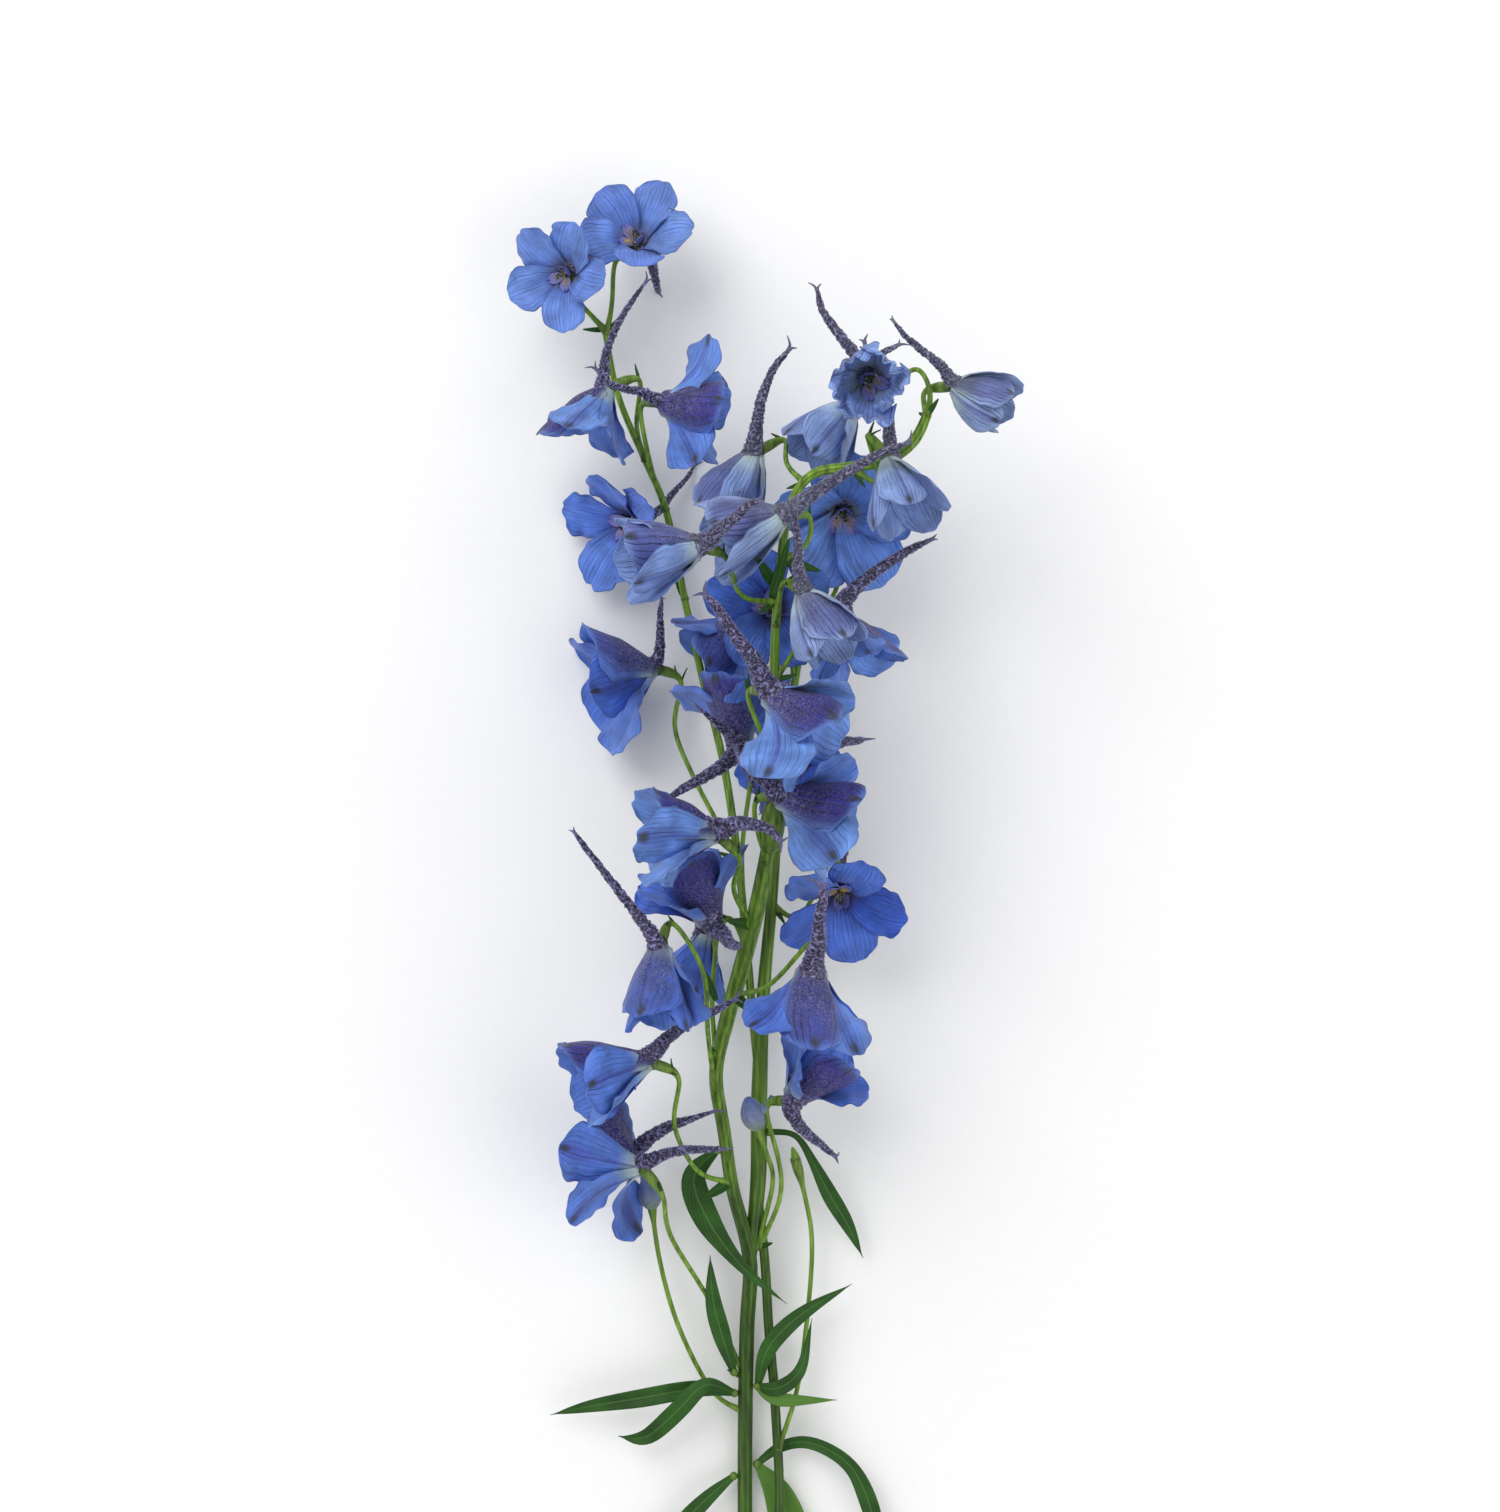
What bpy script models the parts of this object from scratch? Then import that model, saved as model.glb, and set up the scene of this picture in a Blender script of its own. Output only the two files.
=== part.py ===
"""Delphinium flower spike: one cut, branched flowering stem lying on a table.

Blender 4.5, metres, +Z up. The stem lies along Y with its cut end towards -Y, and the table is z = 0. It rests
on its cut end, on the spur of floret R6 and on the sepals of floret L6.
Each floret is a calyx of five sepals with a long spur, and one that is seen from the front also holds a centre
of small petals and stamens. The stem carries every stalk and bract as one grown piece. Each bud and each leaf
is a piece of its own.

All lengths below are in millimetres, and the vertices alone are written in metres. A place is given as
(across, down, height): across and down are pixels of a 1500 x 1512 picture that looks straight down on the
plant, and the height is measured up from the table.
"""

import math
import random
from dataclasses import dataclass, field

import bmesh
import bpy
from mathutils import Matrix, Vector

MM = 0.001

# The view that places are read in: its middle, its scale at one height, and the eye above the table.
VIEW_MIDDLE = (750, 756)
VIEW_SCALE = 0.28
SCALE_HEIGHT = 40
EYE_HEIGHT = 900
# The bounding box's middle in that view's millimetres, which becomes the origin.
BOX_MIDDLE = (3.4, -58.7)

# Sepals
SEPAL_LENGTH = 25.0
SEPAL_WIDTH = 16.0
SEPAL_CLAW_WIDTH = 1.7
SEPAL_THICKNESS = 0.8
SEPAL_ROOT = 2.1
SEPAL_CUP = 0.04
SEPAL_WRAP_LIMIT = 0.5
SEPAL_ROLL = 13
SEPAL_TURNS = (0, 72, 144, 216, 288)
SEPAL_ROWS = (0.0, 0.34, 0.74, 1.0)

# Receptacle and spur
HUB_RADIUS = 2.5
SPUR_RADII = (1.9, 2.4, 1.9, 1.4, 0.75)
SPUR_LEAVING = 0.34

# Centre: four small petals round a knob of stamens
PETAL_LENGTH = 7.5
PETAL_WIDTH = 3.6
PETAL_CLAW_WIDTH = 1.1
PETAL_ROOT = 1.15
PETAL_THICKNESS = 0.7
PETAL_TILTS = (40, 18)
PETAL_TURNS = (38, 142, 218, 322)
PETAL_ROWS = (0.0, 0.6, 1.0)
KNOB_RADIUS = 1.35
KNOB_HALF_LENGTH = 2.2

# Green parts
STALK_RADIUS = 0.72
NECK_RADIUS = 1.1
NECK_LENGTH = 7.0
AXIS_STEP = 20.0
STALK_STEP = 12.0
BLADE_THICKNESS = 0.8
BRACT_LENGTH = 9.0
BRACT_WIDTH = 2.4
BRACT_DROP = 0.7
BRACT_ROWS = (0.0, 0.5, 1.0)
LEAF_STEP = 14.0
LEAF_FOLD = 0.25

# Air between two pieces that meet
JOIN_GAP = 0.3
# Faces of a union that lie within this many degrees of one plane are drawn as one before they are split
FLAT_ANGLE = 0.3

# How each kind of surface looks: base colour (linear) and roughness
FINISHES = {
    "Sepal blue": ((0.13, 0.23, 0.52), 0.55),
    "Centre petal": ((0.55, 0.5, 0.62), 0.6),
    "Stem green": ((0.11, 0.19, 0.05), 0.6),
    "Leaf green": ((0.06, 0.13, 0.03), 0.65),
    "Bud grey green": ((0.2, 0.26, 0.3), 0.6),
}


@dataclass
class Floret:
    """One flower: where its base and its spur's tip are, which way it faces and how far it opens.

    face is (turn, rise) as heading() takes them. flare is the tilt of a sepal away from that direction, at its
    root and at its tip, in degrees, and bend adds to the tilt at the tip of single sepals, which keeps them
    clear of their neighbours. stalk holds the places that the stalk runs through from the stem outwards.
    narrow scales the sepals' width, and up is the heading of the spur's side where the spur's tip doesn't
    give it.
    """

    name: str
    base: tuple
    spur_tip: tuple
    face: tuple
    flare: tuple
    size: float
    stalk: tuple
    centre: bool = True
    narrow: float = 1.0
    bend: dict = field(default_factory=dict)
    bract: bool = False
    up: tuple = None


FLORETS = (
    # The left spike, from its top down
    Floret("L1", (570, 274, 25), (622, 246, 5), (200, 65), (26, 84), 0.86, ((605, 330, 19),)),
    Floret("L2", (636, 247, 20), (658, 296, 2.5), (90, 60), (26, 82), 0.88, ((606, 335, 19), (612, 305, 18))),
    Floret("L3", (660, 402, 36), (595, 375, 48), (-12, 12), (22, 56), 0.9,
           ((666, 510, 14), (654, 478, 21), (645, 440, 28)), centre=False),
    Floret("L4", (608, 388, 32), (645, 283, 33), (240, 0), (22, 60), 0.9,
           ((645, 460, 16), (636, 425, 24)), centre=False),
    Floret("L5", (650, 518, 11), (697, 470, 2), (200, 45), (26, 80), 0.98,
           ((685, 600, 10), (676, 560, 9))),
    Floret("L6", (655, 668, 12.22), (660, 600, 15.6), (200, 15), (24, 66), 1.0,
           ((738, 860, 17), (694, 778, 15), (674, 725, 11)), centre=False),
    Floret("L7", (745, 619, 21.6), (800, 588, 17), (228, 12), (24, 56), 0.85,
           ((711, 708, 10), (752, 680, 13)), centre=False, bend={0: -18}),
    Floret("L8", (740, 745, 42.5), (667, 797, 54), (95, 10), (24, 62), 0.98,
           ((746, 930, 18), (742, 850, 28)), centre=False, bend={2: -4, 4: -20}),
    # The front spike, from its top down
    Floret("R1", (870, 378, 70), (812, 295, 63), (250, 75), (26, 52), 0.85, ((927, 416, 66), (905, 402, 61))),
    Floret("R2", (953, 386, 66), (893, 325, 74), (-25, 5), (40, -8), 0.88, ((927, 416, 66),),
           centre=False, narrow=0.75),
    Floret("R3", (852, 405, 46.5), (895, 342, 38), (230, 12), (32, 28), 0.87,
           ((852, 467, 60), (886, 448, 50)), centre=False, narrow=0.85),
    Floret("R4", (757, 452, 45), (785, 348, 54), (240, -5), (34, 22), 0.88,
           ((805, 483, 60), (786, 464, 53)), centre=False, narrow=0.85),
    Floret("R5", (908, 460, 72), (905, 338, 66), (-65, 20), (32, 34), 0.95,
           ((852, 468, 61), (880, 484, 63)), centre=False, narrow=0.9),
    Floret("R6", (850, 512, 22.5), (836, 452, 0.31), (-80, 68), (26, 80), 1.0,
           ((800, 650, 18), (840, 580, 17))),
    Floret("R7", (702, 547, 76), (757, 495, 91), (190, 10), (32, 36), 0.95,
           ((776, 602, 57), (740, 596, 62)), centre=False, narrow=0.9),
    Floret("R8", (786, 515, 64), (905, 440, 83), (200, 5), (32, 28), 0.98,
           ((782, 560, 58), (808, 545, 56)), centre=False, narrow=0.9, bract=True),
    Floret("R9", (802, 592, 73), (790, 510, 85), (-60, 15), (36, 12), 0.9,
           ((776, 625, 57),), centre=False, narrow=0.8),
    Floret("R11", (835, 615, 49.5), (928, 540, 52), (-60, 10), (24, 60), 0.95,
           ((775, 680, 55), (800, 640, 55)), centre=False),
    Floret("R12", (768, 692, 76), (710, 592, 86), (-38, 20), (24, 64), 1.08,
           ((775, 760, 52), (760, 730, 62)), centre=False, bract=True),
    Floret("R13", (778, 795, 60), (735, 755, 66), (-20, 15), (24, 62), 1.05,
           ((769, 865, 46), (757, 830, 52)), centre=False),
    Floret("R14", (718, 835, 62), (780, 833, 80), (175, 10), (24, 62), 1.0,
           ((752, 925, 42), (733, 890, 48)), centre=False, bract=True),
    Floret("R15", (712, 925, 43), (742, 945, 65), (130, 10), (24, 60), 0.95,
           ((716, 1060, 29), (712, 1000, 33)), centre=False),
    Floret("R16", (660, 945, 59), (575, 835, 62), (-80, 10), (24, 60), 0.98,
           ((716, 1095, 26), (708, 1035, 38), (703, 970, 54)), centre=False),
    Floret("R17", (840, 896, 26), (842, 848, 3), (-90, 55), (26, 82), 1.0,
           ((773, 905, 17), (800, 918, 17))),
    Floret("R18", (812, 965, 66), (828, 888, 84), (-95, 10), (24, 66), 1.02,
           ((735, 995, 36), (770, 985, 50)), centre=False, bract=True),
    Floret("R19", (790, 1100, 30), (832, 1152, 16), (50, 10), (24, 62), 0.92,
           ((760, 1247, 13), (782, 1185, 20)), centre=False),
    Floret("R20", (650, 1062, 46), (735, 1003, 58), (195, 10), (24, 62), 1.0,
           ((730, 1182, 19), (698, 1172, 25), (674, 1125, 36)), centre=False, bract=True),
    Floret("R21", (643, 1168, 34), (723, 1150, 44), (205, -25), (24, 64), 0.98,
           ((745, 1378, 7), (712, 1305, 11), (670, 1235, 28)), centre=False, up=(80, 10)),
    Floret("R22", (706, 935, 14), (700, 866, 6), (-108, 5), (24, 32), 0.8,
           ((747, 950, 18),), centre=False, narrow=0.85),
    Floret("R24", (812, 757, 24), (866, 742, 10), (180, 50), (26, 78), 0.9,
           ((779, 815, 18), (810, 800, 16))),
    Floret("R25", (774, 612, 31), (822, 668, 14), (150, 80), (26, 76), 0.9,
           ((789, 720, 18), (792, 660, 22)), bend={4: 8}),
)

# A closed bud: its middle, the end of its stubby spur, and the stalk's points from the stem outwards
BUDS = {
    "R23": ((753, 1114, 22), (772, 1096, 25), ((757, 1249, 13), (773, 1183, 18), (768, 1158, 20))),
    "R21_side": ((650, 1192, 10), (640, 1168, 10), ((744, 1412, 6), (713, 1392, 6), (680, 1330, 9), (660, 1262, 10))),
}
BUD_RADIUS = 3.4
BUD_HALF_LENGTH = 5.0
BUD_SPUR_RADII = (1.6, 1.2, 0.7)

# A green pod on a stalk of its own: its middle and the stalk's points from the stem outwards
POD = ((795, 1158, 13), ((778, 1450, 8.6), (797, 1390, 8.6), (808, 1310, 8.5), (812, 1240, 9), (804, 1192, 11)))
POD_RADIUS = 1.5
POD_HALF_LENGTH = 3.0

# Leaves: each is a small sheath beside the stem and the lobes that leave it. A lobe's points are (across, down,
# height, half width), from the first one past the sheath to the tip.
LEAVES = {
    "leaf_left": ((734.4, 1393, 7), (
        ((700, 1388, 11.5, 2.4), (640, 1398, 12, 2.6), (590, 1406, 9, 1.8), (550, 1415, 5, 0)),
        ((705, 1384, 15, 2.2), (680, 1408, 15, 2.8), (645, 1438, 10, 2.2), (618, 1436, 7, 0)),
    )),
    "leaf_left_upright": ((734, 1372, 8), (
        ((722, 1335, 13, 2.6), (713, 1300, 15, 2.3), (710, 1255, 15, 0)),
    )),
    "leaf_right": ((757.5, 1386, 8), (
        ((768, 1348, 13.5, 2.4), (800, 1315, 14.5, 2.2), (852, 1284, 12, 0)),
        ((776, 1389, 13.5, 2.2), (800, 1372, 14, 1.8), (812, 1318, 15, 0)),
        ((776, 1399, 13, 2.2), (805, 1400, 12.5, 1.3), (837, 1400, 10, 0)),
    )),
    "leaf_low_right": ((757, 1464, 4.4), (
        ((779, 1447, 4.4, 1.6), (810, 1442, 7, 1.8), (850, 1465, 8, 2.0), (872, 1512, 7, 2.6), (886, 1575, 3, 0)),
        ((778, 1492, 3.4, 4.2), (792, 1535, 3.2, 5.6), (806, 1590, 3, 4.0), (812, 1640, 3, 0)),
    )),
    "leaf_low_left": ((733.6, 1476, 4.6), (
        ((705, 1500, 7, 2.3), (675, 1535, 6, 2.4), (650, 1600, 3, 0)),
    )),
    "leaf_fork": ((717.5, 1150, 20.7), (
        ((693, 1176, 18, 3.4), (705, 1215, 19, 3.8), (728, 1250, 20, 2.3), (752, 1276, 19, 1.3),
         (787, 1304, 15, 0)),
    )),
    "leaf_hanging": ((769, 1132, 14.5), (
        ((795, 1134, 16, 0.8), (812, 1160, 15, 1.3), (830, 1195, 12, 2.4), (848, 1225, 9, 1.9),
         (863, 1258, 5, 0)),
    )),
}
SHEATH_RADIUS = 1.2
LOBE_ROOT_WIDTH = 0.9
LOBE_EDGE = 0.35

# Points of each green axis as (across, down, height, radius), from its root to its tip.
AXES = {
    "main": ((745, 1726, 1.91, 2.2), (745, 1600, 2.5, 2.1), (745, 1450, 5, 2.0), (747, 1330, 9, 1.95),
             (750, 1258, 13, 1.9), (733, 1190, 18, 1.6), (724, 1130, 23, 1.55), (716, 1075, 28, 1.5),
             (727, 1020, 34, 1.5), (745, 955, 40, 1.5), (762, 885, 45, 1.5), (773, 810, 50, 1.45),
             (775, 720, 54, 1.35), (775, 640, 56, 1.25), (781, 560, 58, 1.2), (790, 505, 59, 1.15),
             (812, 474, 60, 1.1), (850, 467, 61, 1.0), (888, 460, 63, 0.95), (915, 440, 65, 0.9),
             (927, 415, 66, 0.85)),
    "back": ((750, 1258, 13, 1.5), (758, 1180, 14, 1.7), (759, 1100, 15, 1.65), (763, 1000, 16, 1.6),
             (772, 900, 17, 1.5), (778, 820, 18, 1.4), (788, 730, 18, 1.25), (800, 650, 18, 1.1)),
    "left": ((759, 1085, 15, 1.1), (752, 1010, 17, 1.15), (746, 940, 18, 1.15), (738, 860, 17, 1.15),
             (724, 765, 13, 1.1), (703, 680, 8.5, 1.05), (685, 600, 10, 1.0), (666, 510, 14, 1.0),
             (645, 460, 16, 0.95), (618, 395, 18, 0.9), (604, 325, 19, 0.85)),
    "side": ((745, 1650, 2.4, 1.2), (766, 1580, 5, 1.3), (779, 1512, 7.5, 1.35), (775, 1401, 9, 1.35),
             (769, 1330, 9.5, 1.35), (765, 1261, 12, 1.35), (758, 1195, 14, 1.3)),
}


def seen(place):
    """The point, in millimetres, of a place given as (across, down, height)."""
    across, down, height = place[:3]
    spread = VIEW_SCALE * (EYE_HEIGHT - height) / (EYE_HEIGHT - SCALE_HEIGHT)
    x = (across - VIEW_MIDDLE[0]) * spread - BOX_MIDDLE[0]
    y = (VIEW_MIDDLE[1] - down) * spread - BOX_MIDDLE[1]
    return Vector((x, y, height))


def heading(turn, rise):
    """A unit vector: turn is its direction in the view in degrees from +X, rise its tilt above the table."""
    turn, rise = math.radians(turn), math.radians(rise)
    return Vector((math.cos(turn) * math.cos(rise), math.sin(turn) * math.cos(rise), math.sin(rise)))


def clear_scene():
    """Remove everything that a new Blender file starts with."""
    for old in list(bpy.data.objects):
        bpy.data.objects.remove(old, do_unlink=True)


def finish(name):
    """The Principled material of one kind of surface."""
    if name in bpy.data.materials:
        return bpy.data.materials[name]
    colour, roughness = FINISHES[name]
    made = bpy.data.materials.new(name)
    made.use_nodes = True
    shader = made.node_tree.nodes["Principled BSDF"]
    shader.inputs["Base Color"].default_value = (*colour, 1.0)
    shader.inputs["Roughness"].default_value = roughness
    shader.inputs["Metallic"].default_value = 0.0
    made.diffuse_color = (*colour, 1.0)
    return made


def in_collection(name):
    """The collection of this name, made when first asked for."""
    if name not in bpy.data.collections:
        bpy.context.scene.collection.children.link(bpy.data.collections.new(name))
    return bpy.data.collections[name]


def applied(raw):
    """A plain mesh object that holds what an object looks like with its curve or modifiers applied."""
    depsgraph = bpy.context.evaluated_depsgraph_get()
    mesh = bpy.data.meshes.new_from_object(raw.evaluated_get(depsgraph))
    plain = bpy.data.objects.new(raw.name + "_mesh", mesh)
    plain.matrix_world = raw.matrix_world
    bpy.data.objects.remove(raw, do_unlink=True)
    weld = bmesh.new()
    weld.from_mesh(mesh)
    bmesh.ops.remove_doubles(weld, verts=weld.verts, dist=0.002 * MM)
    bmesh.ops.recalc_face_normals(weld, faces=weld.faces)
    weld.to_mesh(mesh)
    weld.free()
    in_collection("Pieces to join").objects.link(plain)
    return plain


def smooth_route(points, step):
    """Points about one step apart on a Catmull-Rom curve through the given points, each a list of numbers."""
    ends = [[2 * a - b for a, b in zip(points[0], points[1])], [2 * a - b for a, b in zip(points[-1], points[-2])]]
    guides = [ends[0], *points, ends[1]]
    route = [list(points[0])]
    for before, start, end, after in zip(guides, guides[1:], guides[2:], guides[3:]):
        count = max(1, round((Vector(end[:3]) - Vector(start[:3])).length / step))
        for index in range(1, count + 1):
            t = index / count
            route.append([
                0.5 * (2 * b + (c - a) * t + (2 * a - 5 * b + 4 * c - d) * t * t
                       + (3 * b - a - 3 * c + d) * t ** 3)
                for a, b, c, d in zip(before, start, end, after)])
    return route


def tube(name, points, sides=6):
    """A round tube with filled ends through points given as (x, y, z, radius)."""
    curve = bpy.data.curves.new(name, "CURVE")
    curve.dimensions = "3D"
    curve.bevel_depth = MM
    curve.bevel_resolution = (sides - 4) // 2
    curve.use_fill_caps = True
    spline = curve.splines.new("POLY")
    spline.points.add(len(points) - 1)
    for knot, (x, y, z, radius) in zip(spline.points, points):
        knot.co = (x * MM, y * MM, z * MM, 1.0)
        knot.radius = radius
    raw = bpy.data.objects.new(name, curve)
    in_collection("Pieces to join").objects.link(raw)
    return applied(raw)


def ball(name, centre, axis, radius, half_length, segments=7, rings=4):
    """A ball, or an egg that is longer along its axis."""
    mesh = bpy.data.meshes.new(name)
    shape = bmesh.new()
    bmesh.ops.create_uvsphere(shape, u_segments=segments, v_segments=rings, radius=radius * MM)
    stretch = Matrix.Diagonal((1.0, 1.0, half_length / radius, 1.0))
    turn = axis.to_track_quat("Z", "Y").to_matrix().to_4x4()
    bmesh.ops.transform(shape, matrix=Matrix.Translation(centre * MM) @ turn @ stretch, verts=shape.verts)
    shape.to_mesh(mesh)
    shape.free()
    egg = bpy.data.objects.new(name, mesh)
    in_collection("Pieces to join").objects.link(egg)
    return egg


def leaf_lobe(name, places):
    """One long lobe, whose blade lies across the view."""
    route = smooth_route([[*seen(place), place[3]] for place in places], LEAF_STEP)
    steps = len(route) - 1

    def surface(u, v):
        index = min(steps, round(u * steps))
        here = Vector(route[index][:3])
        ahead = Vector(route[min(steps, index + 1)][:3])
        behind = Vector(route[max(0, index - 1)][:3])
        along = (ahead - behind).normalized()
        across = Vector((along.y, -along.x, 0.0)).normalized()
        lift = across.cross(along)
        half_width = max(LOBE_EDGE, route[index][3])
        return here + v * half_width * across + LEAF_FOLD * v * v * half_width * lift

    return blade(name, surface, [step / steps for step in range(steps + 1)], BLADE_THICKNESS)


def blade(name, surface, rows, thickness):
    """A thin blade: surface(u, v) gives its middle surface, u from root to tip and v from edge to edge.

    The first row has its two edge points, each later row three points and the last only the tip, so both
    faces are split into the same triangles.
    """
    shape = bmesh.new()
    grid = []
    for u in rows[:-1]:
        across = (-1, 1) if u == rows[0] else (-1, 0, 1)
        grid.append([shape.verts.new(surface(u, v) * MM) for v in across])
    tip = shape.verts.new(surface(rows[-1], 0) * MM)
    left, right = grid[0]
    first = grid[1]
    triangles = [(left, right, first[1]), (left, first[1], first[0]), (right, first[2], first[1])]
    for row, ahead in zip(grid[1:], grid[2:]):
        triangles += [(row[0], row[1], ahead[1]), (row[0], ahead[1], ahead[0]),
                      (row[1], row[2], ahead[1]), (row[2], ahead[2], ahead[1])]
    last = grid[-1]
    triangles += [(last[0], last[1], tip), (last[1], last[2], tip)]
    for corners in triangles:
        shape.faces.new(corners)
    mesh = bpy.data.meshes.new(name)
    shape.to_mesh(mesh)
    shape.free()
    raw = bpy.data.objects.new(name, mesh)
    in_collection("Pieces to join").objects.link(raw)
    wall = raw.modifiers.new("Thickness", "SOLIDIFY")
    wall.thickness = thickness * MM
    wall.offset = 0.0
    return applied(raw)


def fuse(name, pieces, surface):
    """Join overlapping pieces into one node by a Boolean union on their collection."""
    body = pieces[0]
    repeats = bpy.data.collections.new("Union of " + name)
    bpy.context.scene.collection.children.link(repeats)
    for piece in pieces:
        in_collection("Pieces to join").objects.unlink(piece)
        if piece is not body:
            repeats.objects.link(piece)
    in_collection("Delphinium flower spike").objects.link(body)
    union = body.modifiers.new("Union", "BOOLEAN")
    union.operation = "UNION"
    union.operand_type = "COLLECTION"
    union.collection = repeats
    union.solver = "EXACT"
    depsgraph = bpy.context.evaluated_depsgraph_get()
    mesh = bpy.data.meshes.new_from_object(body.evaluated_get(depsgraph))
    body.modifiers.remove(union)
    body.data = mesh
    for piece in list(repeats.objects):
        bpy.data.objects.remove(piece, do_unlink=True)
    bpy.data.collections.remove(repeats)
    split = bmesh.new()
    split.from_mesh(mesh)
    bmesh.ops.dissolve_limit(split, angle_limit=math.radians(FLAT_ANGLE), verts=split.verts, edges=split.edges)
    bmesh.ops.triangulate(split, faces=split.faces)
    split.to_mesh(mesh)
    split.free()
    mesh.materials.clear()
    mesh.materials.append(finish(surface))
    body.name = name
    mesh.name = name
    return body


class FloretShape:
    """The frame and the curves of one floret, all in millimetres."""

    def __init__(self, floret):
        self.floret = floret
        self.base = seen(floret.base)
        self.spur_tip = seen(floret.spur_tip)
        self.front = heading(*floret.face)
        spur = heading(*floret.up) if floret.up else self.spur_tip - self.base
        self.up = (spur - spur.dot(self.front) * self.front).normalized()
        self.right = self.up.cross(self.front)
        self.attach = (-0.75 * self.front - 0.66 * self.up).normalized()
        draw = random.Random(floret.name)
        self.drawn = [(draw.uniform(-4, 4), draw.uniform(-3, 3), draw.uniform(0.94, 1.04), draw.uniform(0, 1))
                      for _ in SEPAL_TURNS]

    def radial(self, turn):
        """The direction away from the floret's axis, turn degrees round from the spur's side."""
        turn = math.radians(turn)
        return math.cos(turn) * self.up + math.sin(turn) * self.right

    def bowed(self, root, out, tilts, length, u):
        """The point and the outer normal at u on an arc that leaves root and tilts away from the axis."""
        start, end = (math.radians(tilt) for tilt in tilts)
        tilt = start + (end - start) * u
        radius = length / (end - start)
        point = (root + radius * (math.cos(start) - math.cos(tilt)) * out
                 + radius * (math.sin(tilt) - math.sin(start)) * self.front)
        return point, math.cos(tilt) * out - math.sin(tilt) * self.front

    def sepal_point(self, index, u, v):
        """A point of one sepal's middle surface."""
        turn, lean, longer, phase = self.drawn[index]
        out = self.radial(SEPAL_TURNS[index] + turn)
        length = SEPAL_LENGTH * self.floret.size * longer
        half_width = 0.5 * self.floret.size * self.floret.narrow * (
            SEPAL_CLAW_WIDTH + (SEPAL_WIDTH - SEPAL_CLAW_WIDTH) * abs(math.sin(math.pi * u ** 1.6)) ** 0.85)
        root_tilt, tip_tilt = self.floret.flare
        tip_tilt += lean + self.floret.bend.get(index, 0)
        middle, normal = self.bowed(self.base + SEPAL_ROOT * out, out, (root_tilt, tip_tilt), length, u)
        wall_radius = (middle - self.base).dot(out) / max(0.2, normal.dot(out))
        wrap = min(SEPAL_WRAP_LIMIT, 0.5 * half_width / wall_radius) + SEPAL_CUP
        wave = 0.1 * v ** 3 * math.sin(2 * math.pi * (1.3 * u + phase))
        curl = (wrap * v * v + wave) * half_width
        roll = math.radians(SEPAL_ROLL) * min(1.0, 6 * u)
        across = math.cos(roll) * self.front.cross(out) + math.sin(roll) * normal
        return middle + v * half_width * across - curl * normal

    def petal_point(self, turn, u, v):
        """A point of one centre petal's middle surface."""
        out = self.radial(turn)
        root = self.base + (HUB_RADIUS + JOIN_GAP + 1.0) * self.front + PETAL_ROOT * out
        half_width = 0.5 * (PETAL_CLAW_WIDTH + (PETAL_WIDTH - PETAL_CLAW_WIDTH) * math.sin(math.pi * u ** 1.2))
        middle, normal = self.bowed(root, out, PETAL_TILTS, PETAL_LENGTH, u)
        return middle + v * half_width * self.front.cross(out) - 0.3 * v * v * half_width * normal

    def spur_point(self, t):
        """A point of the spur's middle line, which leaves backwards and bends round to its tip."""
        reach = (self.spur_tip - self.base).length
        guide = self.base + SPUR_LEAVING * reach * (-0.55 * self.front + 0.83 * self.up)
        return (1 - t) ** 2 * self.base + 2 * t * (1 - t) * guide + t * t * self.spur_tip


def calyx(floret):
    """The receptacle, five sepals and spur of one floret."""
    form = FloretShape(floret)
    pieces = [ball("hub", form.base, form.front, HUB_RADIUS, HUB_RADIUS, segments=5, rings=3)]
    for index in range(len(SEPAL_TURNS)):
        surface = lambda u, v, index=index: form.sepal_point(index, u, v)
        pieces.append(blade("sepal", surface, SEPAL_ROWS, SEPAL_THICKNESS))
    steps = len(SPUR_RADII) - 1
    spine = [(*form.spur_point(step / steps), radius) for step, radius in enumerate(SPUR_RADII)]
    pieces.append(tube("spur", spine))
    return fuse("calyx_" + floret.name, pieces, "Sepal blue")


def centre(floret):
    """The small petals and the stamens inside an open floret."""
    form = FloretShape(floret)
    middle = form.base + (HUB_RADIUS + JOIN_GAP + KNOB_HALF_LENGTH) * form.front
    pieces = [ball("knob", middle, form.front, KNOB_RADIUS, KNOB_HALF_LENGTH, segments=5, rings=3)]
    for turn in PETAL_TURNS:
        surface = lambda u, v, turn=turn: form.petal_point(turn, u, v)
        pieces.append(blade("petal", surface, PETAL_ROWS, PETAL_THICKNESS))
    return fuse("centre_" + floret.name, pieces, "Centre petal")


def stalk(floret):
    """The stalk that carries one floret, from the stem to just short of the floret's base."""
    form = FloretShape(floret)
    end = form.base + (HUB_RADIUS + JOIN_GAP) * form.attach
    neck = end + NECK_LENGTH * form.attach
    points = [(*seen(place), STALK_RADIUS) for place in floret.stalk]
    points += [(*neck, STALK_RADIUS), (*end, NECK_RADIUS)]
    return tube("stalk", smooth_route(points, STALK_STEP), sides=4)


def bract(floret):
    """The small leaf below the root of one stalk."""
    start, ahead = (seen(place) for place in floret.stalk[:2])
    along = ((ahead - start).normalized() - BRACT_DROP * Vector((0.0, 1.0, 0.0))).normalized()
    across = along.cross(Vector((0.0, 0.0, 1.0))).normalized()

    def surface(u, v):
        half_width = 0.5 * BRACT_WIDTH * math.sin(math.pi * (0.25 + 0.75 * u))
        return start + BRACT_LENGTH * u * along + v * half_width * across

    return blade("bract", surface, BRACT_ROWS, BLADE_THICKNESS)


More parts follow.
